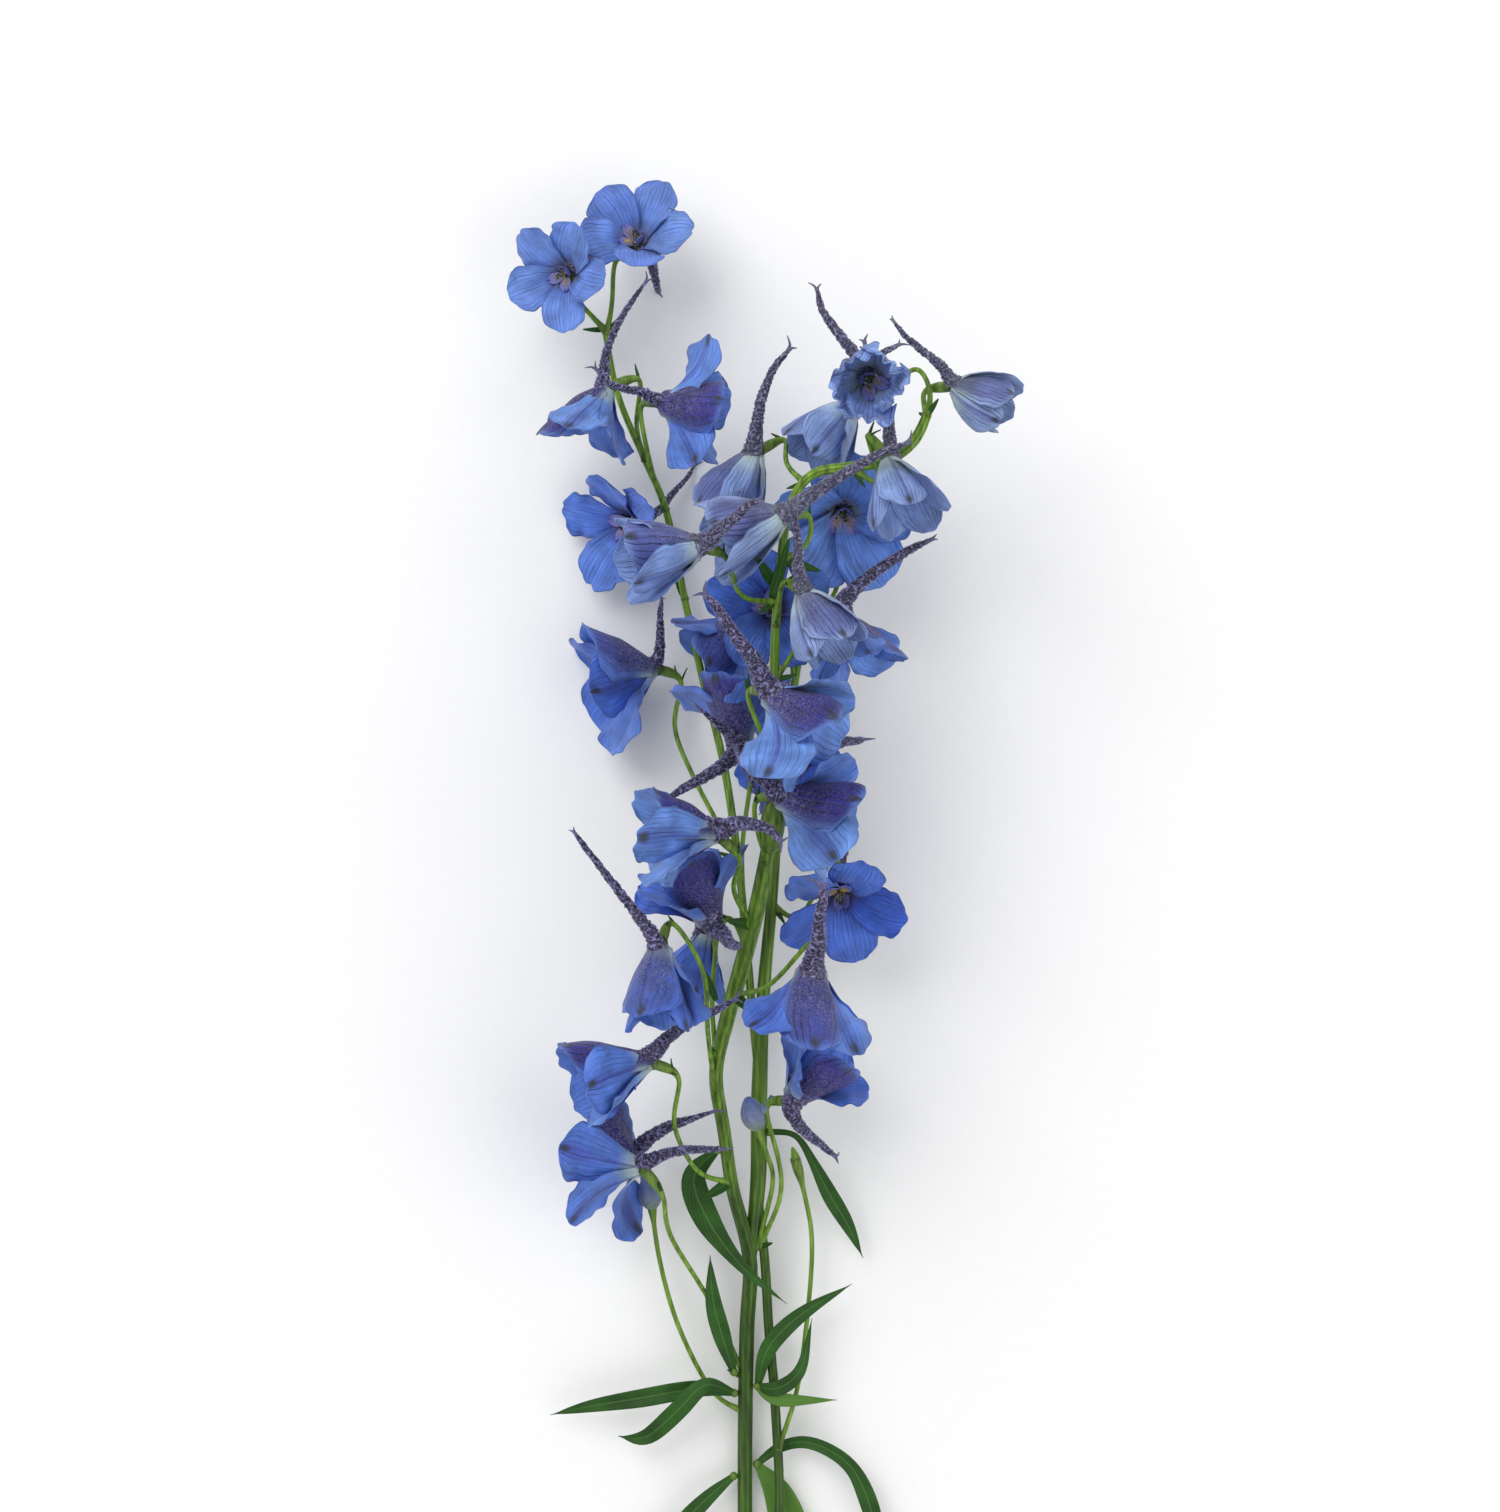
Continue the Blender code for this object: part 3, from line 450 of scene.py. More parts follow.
def grid_uvs(u, v):
    """The UVs of a grid: U across it from v between -1 and 1, V along it."""
    return np.stack(np.broadcast_arrays(0.5 + 0.5 * v, u), -1)


def grid_steps(rows, columns):
    """u from 0 to 1 down a grid, and v from -1 to 1 across it."""
    return np.linspace(0.0, 1.0, rows)[:, None], np.linspace(-1.0, 1.0, columns)[None, :]


class Casting:
    """Collects closed shapes, in millimetres, and casts them as one mesh object.

    Every point has a place, a UV and a mark of four numbers that the materials read, and every face a material.
    """

    def __init__(self):
        self.points, self.uvs, self.marks, self.faces, self.looks = [], [], [], [], []
        self.count = 0

    def add(self, points, faces, uvs, marks, look):
        """Take in one shape. marks may be one row for all of its points."""
        self.points.append(points)
        self.uvs.append(uvs)
        self.marks.append(np.broadcast_to(np.asarray(marks, dtype=float), (len(points), 4)))
        self.faces += [tuple(corner + self.count for corner in face) for face in faces]
        self.looks += [look] * len(faces)
        self.count += len(points)

    def slab(self, middle, wall, uvs, marks_in, marks_out, look):
        """A closed sheet round a grid of points. wall is its thickness at each of them."""
        rows, columns = middle.shape[:2]
        normal = unit(np.cross(np.gradient(middle, axis=0), np.gradient(middle, axis=1)))
        half = 0.5 * np.broadcast_to(wall, (rows, columns))[..., None] * normal
        far = rows * columns
        faces = []
        for a, b, c, d in grid_faces(rows, columns):
            faces += [(a, b, c, d), (a + far, d + far, c + far, b + far)]
        number = np.arange(far).reshape(rows, columns)
        rim = [int(corner) for side in (number[0], number[1:, -1], number[-1, -2::-1], number[-2:0:-1, 0])
               for corner in side]
        faces += [(two, one, one + far, two + far) for one, two in zip(rim, rim[1:] + rim[:1])]
        points = np.concatenate([(middle - half).reshape(-1, 3), (middle + half).reshape(-1, 3)])
        marks = np.concatenate([marks_in.reshape(-1, 4), marks_out.reshape(-1, 4)])
        self.add(points, faces, np.concatenate([uvs.reshape(-1, 2)] * 2), marks, look)

    def tube(self, route, radii, sides, marks, look, skin=None):
        """A closed tube along a route. skin(along, turns, points, radius) gives how far each point of a ring is
        pushed out and the third mark there."""
        route = np.asarray(route, dtype=float)[:, :3]
        along = unit(np.gradient(route, axis=0))
        side = np.cross(along[0], (0.0, 0.0, 1.0))
        if np.linalg.norm(side) < 0.1:
            side = np.cross(along[0], (1.0, 0.0, 0.0))
        lengths = distances(route)
        turns = np.arange(sides) * 2 * math.pi / sides
        rings, uvs, tones = [], [], []
        for index, (here, ahead, radius) in enumerate(zip(route, along, radii)):
            side = unit(side - side.dot(ahead) * ahead)
            other = np.cross(ahead, side)
            normals = np.cos(turns)[:, None] * side + np.sin(turns)[:, None] * other
            reach = np.full(sides, float(radius))
            if skin is not None:
                push, tone = skin(lengths[index], turns, here + normals * radius, radius)
                reach = reach + push
                tones.append(np.broadcast_to(tone, (sides,)))
            rings.append(here + normals * reach[:, None])
            uvs.append(np.stack([turns / (2 * math.pi), np.full(sides, lengths[index] / lengths[-1])], 1))
        faces = grid_faces(len(rings), sides, closed=True)
        root, last = len(rings) * sides, (len(rings) - 1) * sides
        for j in range(sides):
            k = (j + 1) % sides
            faces += [(root, k, j), (root + 1, last + j, last + k)]
        marks = np.asarray(marks, dtype=float)
        if marks.ndim == 2:
            marks = np.concatenate([np.repeat(marks, sides, axis=0), marks[:1], marks[-1:]])
            if tones:
                marks[:-2, 2] = np.concatenate(tones)
        self.add(np.concatenate(rings + [route[:1], route[-1:]]), faces,
                 np.concatenate(uvs + [[[0, 0]], [[0, 1]]]), marks, look)

    def cast(self, name, materials):
        """The finished object: one mesh in metres, its faces outwards, held above the table."""
        points = np.concatenate(self.points)
        low = points[:, 2] < TABLE_GAP
        points[low, 2] = TABLE_GAP * np.exp(points[low, 2] / TABLE_GAP - 1)
        mesh = bpy.data.meshes.new(name)
        mesh.from_pydata((points * MM).tolist(), [], self.faces)
        corners = np.empty(len(mesh.loops), dtype=np.int32)
        mesh.loops.foreach_get("vertex_index", corners)
        layer = mesh.uv_layers.new(name="Surface")
        layer.data.foreach_set("uv", np.concatenate(self.uvs)[corners].astype(np.float32).ravel())
        marks = mesh.attributes.new("marks", "FLOAT_COLOR", "POINT")
        marks.data.foreach_set("color", np.concatenate(self.marks).astype(np.float32).ravel())
        finished(mesh, materials)
        mesh.polygons.foreach_set("material_index", np.array(self.looks, dtype=np.int32))
        outward = bmesh.new()
        outward.from_mesh(mesh)
        bmesh.ops.recalc_face_normals(outward, faces=outward.faces)
        outward.to_mesh(mesh)
        outward.free()
        return linked(name, mesh)


# Materials

def node(tree, kind, links=None, stops=None, **settings):
    """Add one node. links gives its inputs, each a value or another node's output; stops fill a colour ramp."""
    made = tree.nodes.new(kind)
    for key, value in settings.items():
        setattr(made, key, value)
    for key, value in (links or {}).items():
        if isinstance(value, bpy.types.NodeSocket):
            tree.links.new(value, made.inputs[key])
        else:
            made.inputs[key].default_value = value
    if stops:
        band = made.color_ramp
        while len(band.elements) < len(stops):
            band.elements.new(1.0)
        for element, (place, colour) in zip(band.elements, stops):
            element.position = place
            element.color = linear(colour) if isinstance(colour, str) else (colour, colour, colour, 1.0)
    return made


class Look:
    """A material under way, with short ways to the few nodes that all of them are made of.

    What is the same all over is set on the shader itself. Each way takes values, colours as sRGB hex or linear
    RGBA, and sockets, and gives the socket of the node that it adds.
    """

    def __init__(self, name, roughness, ior, **sockets):
        self.material = bpy.data.materials.new(name)
        self.material.use_nodes = True
        self.tree = self.material.node_tree
        self.shader = self.tree.nodes["Principled BSDF"]
        self.colours = bpy.context.scene.delphinium_colours
        for key, value in {"Roughness": roughness, "IOR": ior, **sockets}.items():
            self.shader.inputs[key.replace("_", " ")].default_value = value

    def place(self):
        """Where a point is in its object, in metres."""
        return node(self.tree, "ShaderNodeTexCoord").outputs["Object"]

    def surface(self):
        """The UV, its U and its V."""
        uv = node(self.tree, "ShaderNodeUVMap", uv_map="Surface").outputs[0]
        split = node(self.tree, "ShaderNodeSeparateXYZ", {0: uv})
        return uv, split.outputs[0], split.outputs[1]

    def marks(self):
        """The four numbers of the points' marks."""
        marks = node(self.tree, "ShaderNodeAttribute", attribute_name="marks")
        parts = node(self.tree, "ShaderNodeSeparateColor", {0: marks.outputs["Color"]}).outputs
        return parts[0], parts[1], parts[2], marks.outputs["Alpha"]

    def given(self, name):
        """A number that the points carry under a name of its own."""
        return node(self.tree, "ShaderNodeAttribute", attribute_name=name).outputs["Fac"]

    def calc(self, operation, *values, **settings):
        """The result of one operation on numbers."""
        return node(self.tree, "ShaderNodeMath", dict(enumerate(values)), operation=operation, **settings).outputs[0]

    def span(self, value, *limits, smooth=False):
        """A number led from the first two limits to the last two, which are 0 and 1 where they aren't given."""
        return node(self.tree, "ShaderNodeMapRange", dict(enumerate((value, *limits))),
                    interpolation_type="SMOOTHSTEP" if smooth else "LINEAR").outputs[0]

    def mix(self, share, one, two, blend="MIX"):
        """One colour going over into another."""
        one, two = (linear(colour) if isinstance(colour, str) else colour for colour in (one, two))
        return node(self.tree, "ShaderNodeMix", {0: share, 6: one, 7: two}, data_type="RGBA",
                    blend_type=blend).outputs[2]

    def stops(self, share, *stops):
        """A colour ramp."""
        return node(self.tree, "ShaderNodeValToRGB", {0: share}, stops).outputs[0]

    def noise(self, place, scale, detail=2.0, roughness=0.5, distortion=0.0):
        """Soft noise from 0 to 1."""
        return node(self.tree, "ShaderNodeTexNoise", {
            "Vector": place, "Scale": scale, "Detail": detail, "Roughness": roughness,
            "Distortion": distortion}).outputs["Fac"]

    def bands(self, place, scale, distortion, detail_scale=1.0, roughness=0.5):
        """Wavering bands that lie side by side along U."""
        return node(self.tree, "ShaderNodeTexWave", {
            "Vector": place, "Scale": scale, "Distortion": distortion, "Detail Scale": detail_scale,
            "Detail Roughness": roughness}).outputs["Fac"]

    def stretched(self, place, scale):
        """A place scaled differently each way."""
        return node(self.tree, "ShaderNodeMapping", {0: place, 3: scale}).outputs[0]

    def warts(self, scale):
        """A maze of thin raised lines, as wrinkles and warts run over a dried-looking spur."""
        cells = self.noise(self.place(), scale, 2.0, 0.55, 0.6)
        return self.stops(cells, (0.44, 0), (0.49, 1), (0.515, 0.9), (0.565, 0))

    def done(self, colour, height, strength, depth):
        """The material, with its colour and a relief of the given depth in millimetres."""
        bump = node(self.tree, "ShaderNodeBump", {"Height": height, "Strength": strength, "Distance": depth * MM})
        self.tree.links.new(colour, self.shader.inputs["Base Color"])
        self.tree.links.new(bump.outputs[0], self.shader.inputs["Normal"])
        return self.material


def sepal_tissue(name):
    """Living petal tissue: soft and matt, with fanned veins, a pale foot, a dark spot behind the tip.

    UV runs across (U) and along (V) a sepal. marks hold (outside, purple, warts, age).
    """
    look = Look(name, 0.52, 1.4, Sheen_Weight=0.12, Sheen_Roughness=0.5, Subsurface_Weight=0.12,
                Subsurface_Scale=0.0008, Subsurface_Radius=(0.5, 0.7, 1.0))
    uv, across, along = look.surface()
    outside, purple, warts, age = look.marks()
    off = look.calc("SUBTRACT", across, 0.5)
    far = look.calc("ABSOLUTE", off)
    open_blue = look.mix(look.given("deep"), look.colours.sepal, look.colours.sepal_deep)
    body = look.mix(age, look.colours.sepal_young, open_blue)

    # Each sepal takes its own piece of the noise, by the shift that it carries
    shift = node(look.tree, "ShaderNodeCombineXYZ", {2: look.given("apart")})
    moved = node(look.tree, "ShaderNodeVectorMath", {0: uv, 1: shift.outputs[0]}, operation="ADD").outputs[0]

    # Fine light and dark streaks along the sepal, about half a millimetre apart
    streaks = look.noise(look.stretched(moved, (30.0, 2.6, 1.0)), 1.0, 4.0, 0.65)
    streaked = look.mix(0.9, body, look.stops(streaks, (0.3, 0.70), (0.5, 1.0), (0.72, 1.25)), "MULTIPLY")

    # Veins that fan out from the foot, about 1.2 mm apart at the widest place, here strong and there faint
    line = look.span(look.bands(moved, 3.6, 2.2, 1.3, 0.6), 0.80, 1.0, smooth=True)
    strength = look.noise(look.stretched(moved, (6.0, 1.6, 1.0)), 1.0)
    vein = look.calc("MULTIPLY", line, look.span(strength, 0.35, 0.65, 0.25, 1.0))
    main_veins = look.calc("MULTIPLY", vein, look.span(age, 0.0, 1.0, 0.85, 0.42))

    # Finer veins about 0.5 mm apart, which show mostly on the young sepals
    hair = look.span(look.bands(moved, 8.5, 3.0, 1.6, 0.6), 0.62, 1.0, 0.0, 0.5)
    fine_veins = look.calc("MULTIPLY", hair, look.span(age, 0.1, 0.9, 1.0, 0.2))
    veined = look.mix(look.calc("MAXIMUM", main_veins, fine_veins), streaked, "#2C3068")

    # The pale foot, longer on young sepals
    reach = look.span(age, 0.0, 1.0, 0.6, 0.3)
    footed = look.mix(look.span(along, 0.02, reach, 0.85, 0.0, smooth=True), veined, look.colours.sepal_foot)

    # The violet midrib, and purple over the outside of the hood
    rib = look.calc("MULTIPLY", look.span(far, 0.0, 0.09, 0.6, 0.0, smooth=True), outside)
    hooded = look.mix(look.calc("MAXIMUM", rib, purple), footed, look.colours.hood)
    lines = look.mix(look.calc("MULTIPLY", vein, purple), hooded, "#191637")

    # The dark green callus just behind the tip
    low = look.calc("SUBTRACT", along, 0.93)
    spot_place = node(look.tree, "ShaderNodeCombineXYZ", {0: off, 1: low}).outputs[0]
    spot_far = node(look.tree, "ShaderNodeVectorMath", {0: look.stretched(spot_place, (8.0, 9.0, 1.0))},
                    operation="LENGTH").outputs["Value"]
    ragged = look.calc("MULTIPLY_ADD", streaks, 1.6, spot_far)
    spot = look.calc("MULTIPLY", look.span(ragged, 0.85, 1.75, 0.9, 0.0, smooth=True), outside)
    spotted = look.mix(spot, lines, "#2A3026")

    # A thin dark line along the edge, and the spur's warts where the hood runs into it, their lilac tops partly
    # painted highlight
    edged = look.mix(look.span(far, 0.468, 0.497, 0.0, 0.55), spotted, "#39407C")
    wart = look.calc("MULTIPLY", look.warts(1100.0), warts)
    darker = look.mix(look.calc("MULTIPLY", warts, 0.35), edged, look.colours.spur)
    warted = look.mix(look.calc("MULTIPLY", wart, 0.6), darker, look.colours.wart)

    # Broad lighter and darker patches
    mottle = look.noise(look.place(), 160.0, 3.0)
    patchy = look.mix(1.0, warted, look.span(mottle, 0.32, 0.68, 0.74, 1.26), "MULTIPLY")

    # Relief: sunken veins, the streaks and the warts
    height = look.calc("MULTIPLY_ADD", vein, -0.8, 0.0)
    rise = look.calc("MULTIPLY_ADD", wart, 2.5, height)
    return look.done(patchy, look.calc("MULTIPLY_ADD", streaks, 1.5, rise), 0.9, 0.2)


def spur_skin(name):
    """The spur's wrinkled, warty skin: dark purple hollows under dull lilac ridges, whose lilac is partly painted
    highlight; greener on young spurs.
    """
    look = Look(name, 0.42, 1.42)
    _, _, along = look.surface()
    _, _, raised, age = look.marks()
    young = look.stops(along, (0.0, "#4F5C5C"), (0.4, "#363A58"), (0.85, "#241F42"))
    base = look.mix(age, young, look.colours.spur)
    # The lilac on the ridges is partly the wrinkles' own paler tone and partly painted highlight
    both = look.calc("MULTIPLY_ADD", look.warts(1500.0), 0.45, raised, use_clamp=True)
    crest_and_highlight = look.mix(age, "#A3A2BE", look.colours.wart)
    return look.done(look.mix(look.calc("MULTIPLY", both, 0.9), base, crest_and_highlight), both, 1.0, 0.3)


def stem_skin(name):
    """Fresh green stem skin: waxy and faintly ridged. marks hold (purple blush, lime, shade); the lime is partly
    painted light.
    """
    look = Look(name, 0.5, 1.42, Coat_Weight=0.05, Coat_Roughness=0.35)
    blush, lime, shade, _ = look.marks()
    place = look.place()
    patch = look.span(look.noise(place, 70.0), 0.35, 0.65, 0.0, 1.0)
    green = look.mix(patch, look.colours.stem, "#4C7019")
    tinted = look.mix(blush, look.mix(lime, green, "#84AC34"), "#4A3F3A")
    shaded = look.mix(look.calc("MULTIPLY", shade, 0.65, use_clamp=True), tinted, "#1C3A04")
    # Streaks a few tenths of a millimetre wide that run with the plant
    streaks = look.noise(look.stretched(place, (1.0, 0.06, 1.0)), 900.0, 3.0)
    skin = look.mix(1.0, shaded, look.span(streaks, 0.33, 0.67, 0.55, 1.5), "MULTIPLY")
    return look.done(skin, streaks, 0.4, 0.1)


def leaf_blade(name):
    """A matt dark green leaf with a pale sunken midrib and slanting side veins, lighter where marks ask for it."""
    look = Look(name, 0.62, 1.4)
    _, across, along = look.surface()
    _, fresh, _, _ = look.marks()
    far = look.calc("ABSOLUTE", look.calc("SUBTRACT", across, 0.5))
    dark = look.mix(look.span(look.noise(look.place(), 120.0, 4.0), 0.3, 0.7), look.colours.leaf, "#265912")
    green = look.mix(fresh, dark, "#5A8430")
    # Side veins slant from the midrib to the edge, about 2 mm apart
    slant = look.calc("MULTIPLY", look.calc("MULTIPLY_ADD", far, -0.5, along), 95.0)
    side = look.span(look.calc("SINE", slant), 0.8, 1.0, 0.0, 0.3)
    vein = look.calc("MAXIMUM", side, look.span(far, 0.02, 0.06, 0.4, 0.0))
    return look.done(look.mix(vein, green, "#5F8640"), vein, 0.5, -0.12)


def bud_skin(name):
    """A closed bud's downy skin: grey green at its foot, turning slate blue towards its tip."""
    look = Look(name, 0.6, 1.42, Sheen_Weight=0.4, Sheen_Roughness=0.4)
    _, _, along = look.surface()
    tint = look.stops(along, (0.0, "#6F8266"), (0.4, "#76829F"), (1.0, "#586AA4"))
    down = look.noise(look.place(), 700.0, 3.0)
    return look.done(look.mix(1.0, tint, look.span(down, 0.3, 0.7, 0.8, 1.15), "MULTIPLY"), down, 0.4, 0.1)


def nectar_petal(name):
    """A small inner petal: pale lilac tissue, whiter at its foot, with violet veins."""
    look = Look(name, 0.5, 1.4, Subsurface_Weight=0.15, Subsurface_Scale=0.0006)
    uv, _, along = look.surface()
    tint = look.stops(along, (0.0, "#B9B6C4"), (0.45, "#8C88BE"), (1.0, "#5F66B4"))
    vein = look.span(look.bands(uv, 2.4, 1.0), 0.75, 1.0, 0.0, 0.45)
    return look.done(look.mix(vein, tint, "#5A4C98"), vein, 0.3, 0.05)


def speckled(name, dark, light, roughness, scale):
    """A small organic part of one colour, such as a hair or an anther, with its grain at the given scale."""
    look = Look(name, roughness, 1.45)
    grain = look.noise(look.place(), scale, 3.0)
    return look.done(look.mix(look.span(grain, 0.35, 0.65), dark, light), grain, 0.3, 0.05)


MAKERS = {
    "Living sepal tissue": (sepal_tissue,),
    "Warty spur skin": (spur_skin,),
    "Fresh green stem skin": (stem_skin,),
    "Matt leaf blade": (leaf_blade,),
    "Downy bud skin": (bud_skin,),
    "Pale inner petal": (nectar_petal,),
    # A beard hair is a bright yellow, an anther nearly black and its filament a pale yellow green
    "Yellow beard hair": (speckled, "#C9A534", "#EBD777", 0.55, 3000.0),
    "Dark anther": (speckled, "#1E2216", "#3F4634", 0.6, 2500.0),
    "Pale filament": (speckled, "#9FA878", "#CBD2AE", 0.5, 1500.0),
}


def material(name):
    """The named material, made the first time that a piece asks for it."""
    if name not in bpy.data.materials:
        maker, *values = MAKERS[name]
        maker(name, *values)
    return bpy.data.materials[name]


# Florets

class FloretForm:
    """The frame and the curves of one floret, in millimetres."""

    def __init__(self, floret):
        self.floret = floret
        self.base = seen(floret.base)
        self.spur_tip = seen(floret.spur_tip)
        self.front = heading(*floret.face)
        spur = heading(*floret.up) if floret.up else self.spur_tip - self.base
        self.up = unit(spur - spur.dot(self.front) * self.front)
        self.right = np.cross(self.up, self.front)
        self.attach = unit(-0.75 * self.front - 0.66 * self.up)
        draw = random.Random(floret.name)
        # What is each sepal's own: its turn, its lean, its length and where its waves start
        self.drawn = [(draw.uniform(-4, 4), draw.uniform(-3, 3), draw.uniform(0.94, 1.04), draw.uniform(0, 1))
                      for _ in SEPAL_TURNS]

    def radial(self, turn):
        """The direction away from the floret's axis, turn degrees round from the spur's side."""
        turn = math.radians(turn)
        return math.cos(turn) * self.up + math.sin(turn) * self.right

    def bowed(self, root, out, tilts, length, u):
        """Points and outer normals, at each u, on an arc that leaves root and tilts away from the axis."""
        start, end = (math.radians(tilt) for tilt in tilts)
        radius = length / (end - start)
        tilt = (start + (end - start) * u)[..., None]
        middle = (root + radius * (np.cos(start) - np.cos(tilt)) * out
                  + radius * (np.sin(tilt) - np.sin(start)) * self.front)
        return middle, np.cos(tilt) * out - np.sin(tilt) * self.front

    def spur_point(self, t):
        """A point of the spur's middle line, which leaves backwards and bends round to its tip."""
        reach = np.linalg.norm(self.spur_tip - self.base)
        guide = self.base + 0.34 * reach * (-0.55 * self.front + 0.83 * self.up)
        return (1 - t) ** 2 * self.base + 2 * t * (1 - t) * guide + t * t * self.spur_tip


def outline(u, shape):
    """The half width at each u, read from a table and smoothed."""
    return evened(evened(np.interp(u, OUTLINE_PLACES, shape)))


def add_sepal(casting, form, index, sizes):
    """One sepal: the arc of its solid, with a rounder outline, a cupped section and a ruffled edge."""
    floret = form.floret
    turn, lean, longer, phase = form.drawn[index]
    draw = random.Random(f"sepal {floret.name} {index}")
    grown = 0.3 + 0.7 * floret.age
    hood = index == 0
    helmet = hood and floret.flare[1] < BELL_FLARE and floret.age > 0.5
    out = form.radial(SEPAL_TURNS[index] + turn)
    length = sizes.sepal_length / MM * floret.size * longer * floret.trim.get(index, 1)
    u, v = grid_steps(SEPAL_ROWS, SEPAL_COLUMNS)
    u = (0.55 * u + 0.45 * np.sin(0.5 * math.pi * u))
    opened = outline(u[:, 0], OPEN_OUTLINE) * floret.age + outline(u[:, 0], CLOSED_OUTLINE) * (1 - floret.age)
    shape = outline(u[:, 0], HOOD_OUTLINE) if hood else opened
    half = (0.5 * sizes.sepal_width / MM * floret.size * floret.broad * shape * draw.uniform(0.93, 1.06))[:, None]
    if helmet:
        half = half * HELMET_WIDTH
    half = half * (1 + 0.03 * wave(3.3 * u + 2.3 * phase) * ramp(u, 0.3, 0.6))

    # Each column ends a little sooner the farther it is from the midrib, with a notch or a point between
    notch = draw.uniform(-0.02, 0.025)
    skew = draw.uniform(-0.025, 0.025)
    ends = (1 - 0.09 * np.abs(v) ** draw.uniform(1.7, 2.3) - notch * np.exp(-(v / 0.22) ** 2) + skew * v
            - 0.01 * np.sin(7 * v + 6 * phase))
    along = u * (1 + (ends - 1) * ramp(u, 0.2, 1.0))
    root_tilt, tip_tilt = floret.flare
    tip_tilt += lean + floret.bend.get(index, 0) + floret.lean.get(index, 0)
    tilts = floret.hood if helmet else (root_tilt, tip_tilt)
    middle, normal = form.bowed(form.base + SEPAL_ROOT * out, out, tilts, length, along)
    roll = math.radians(SEPAL_ROLL) * np.minimum(1.0, 6 * u) * (0.3 if hood else 1.0)
    roll = (roll + math.radians(floret.roll.get(index, 0)) * ramp(u, 0.0, 0.5))[..., None]
    sideways = np.cross(form.front, out)
    across = np.cos(roll) * sideways + np.sin(roll) * normal
    outward = np.cos(roll) * normal - np.sin(roll) * sideways

    # The section is an arc: round the bell's axis at the foot, flatter at the tip, and a helmet for the hood
    off_axis = (middle - form.base) @ out / np.maximum(0.25, normal @ out)
    bow = (0.95 - (0.15 + 0.45 * floret.age) * ramp(u, 0.2, 0.75)) / np.maximum(off_axis, 2.4)
    if helmet:
        bow = 1 / (floret.size * (4.8 + 5.0 * ramp(u, 0.0, 0.7)) + 0 * v)
    bend = bow * v * half
    spread = np.sin(bend) / bow
    sink = (1 - np.cos(bend)) / bow

    # On the section stand the ruffles of the edge, the keel of the midrib, broad crumples and the tip's curl
    waves = wave(2.1 * u + phase + 0.31 * np.sign(v)) + 0.5 * wave(4.3 * u + 2.7 * phase - 0.2 * np.sign(v))
    ruffle = ((0.35 if helmet else 0.62) * floret.crimp * grown * floret.size * np.abs(v) ** 2.5
              * ramp(u, 0.2, 0.6) * waves)
    ruffle = ruffle + 0.3 * (floret.crimp - 1) * ramp(u, 0.55, 1.0) * wave(1.4 * v + phase)
    keel = 0.35 * np.exp(-(v / 0.13) ** 2) * ramp(u, 0.05, 0.3) * (1 - ramp(u, 0.85, 1.0))
    crumple = 0.34 * grown * floret.size * ramp(u, 0.1, 0.5) * (
        wave(1.3 * u + 0.55 * v + draw.random()) + 0.7 * wave(0.9 * u - 1.1 * v + draw.random()))
    tip_curl = (0.3 if helmet else 0.9) * grown * ramp(u, 0.7, 1.0) * draw.uniform(-1, 1)
    twist = 0 if helmet else math.tan(math.radians(draw.uniform(-12, 12) * grown))
    lift = ruffle + keel + crumple - sink + tip_curl + twist * spread * u
    spread = spread + draw.uniform(-1.6, 1.6) * grown * floret.size * u * u
    surface = middle + spread[..., None] * across + lift[..., None] * outward
    wall = sizes.sepal_wall / MM * (0.5 + 0.5 * (1 - np.abs(v) ** 3)) * (0.8 + 0.2 * (1 - u))
    uvs = grid_uvs(u, v)
    inner, outer = sepal_marks(floret, hood, grown, u, v, draw)
    facing = np.cross(np.gradient(surface, axis=0), np.gradient(surface, axis=1))
    centre = (SEPAL_ROWS // 2, SEPAL_COLUMNS // 2)
    if facing[centre] @ outward[centre] < 0:
        surface, uvs, wall, inner, outer = (grid[:, ::-1] for grid in (surface, uvs, wall, inner, outer))
    casting.slab(surface, wall, uvs, inner, outer, 0)


def sepal_marks(floret, hood, grown, u, v, draw):
    """The marks (outside, purple, warts, age) of a sepal's inner and outer face."""
    inner, outer = np.zeros((2, SEPAL_ROWS, SEPAL_COLUMNS, 4))
    outer[..., 0] = 1.0
    inner[..., 1] = 0.85 * floret.dusk * grown * (1 - ramp(u, 0.1, 0.42)) * floret.age
    side = np.abs(v)
    if hood:
        outer[..., 1] = (max(grown, 0.6) * floret.dusk * (1 - ramp(side, 0.5, 0.98))
                         * (1 - 0.8 * ramp(u, 0.86, 1.0)))
        outer[..., 2] = max(grown, 0.6) * (1 - 0.8 * ramp(u, 0.2, 0.95)) * (1 - 0.8 * ramp(side, 0.5, 1.0))
    else:
        streak = draw.uniform(0.1, 0.75) * (1 - ramp(side, 0.08, 0.45)) * ramp(u, 0.25, 0.7)
        outer[..., 1] = grown * streak
    inner[..., 3] = outer[..., 3] = floret.age
    return inner, outer


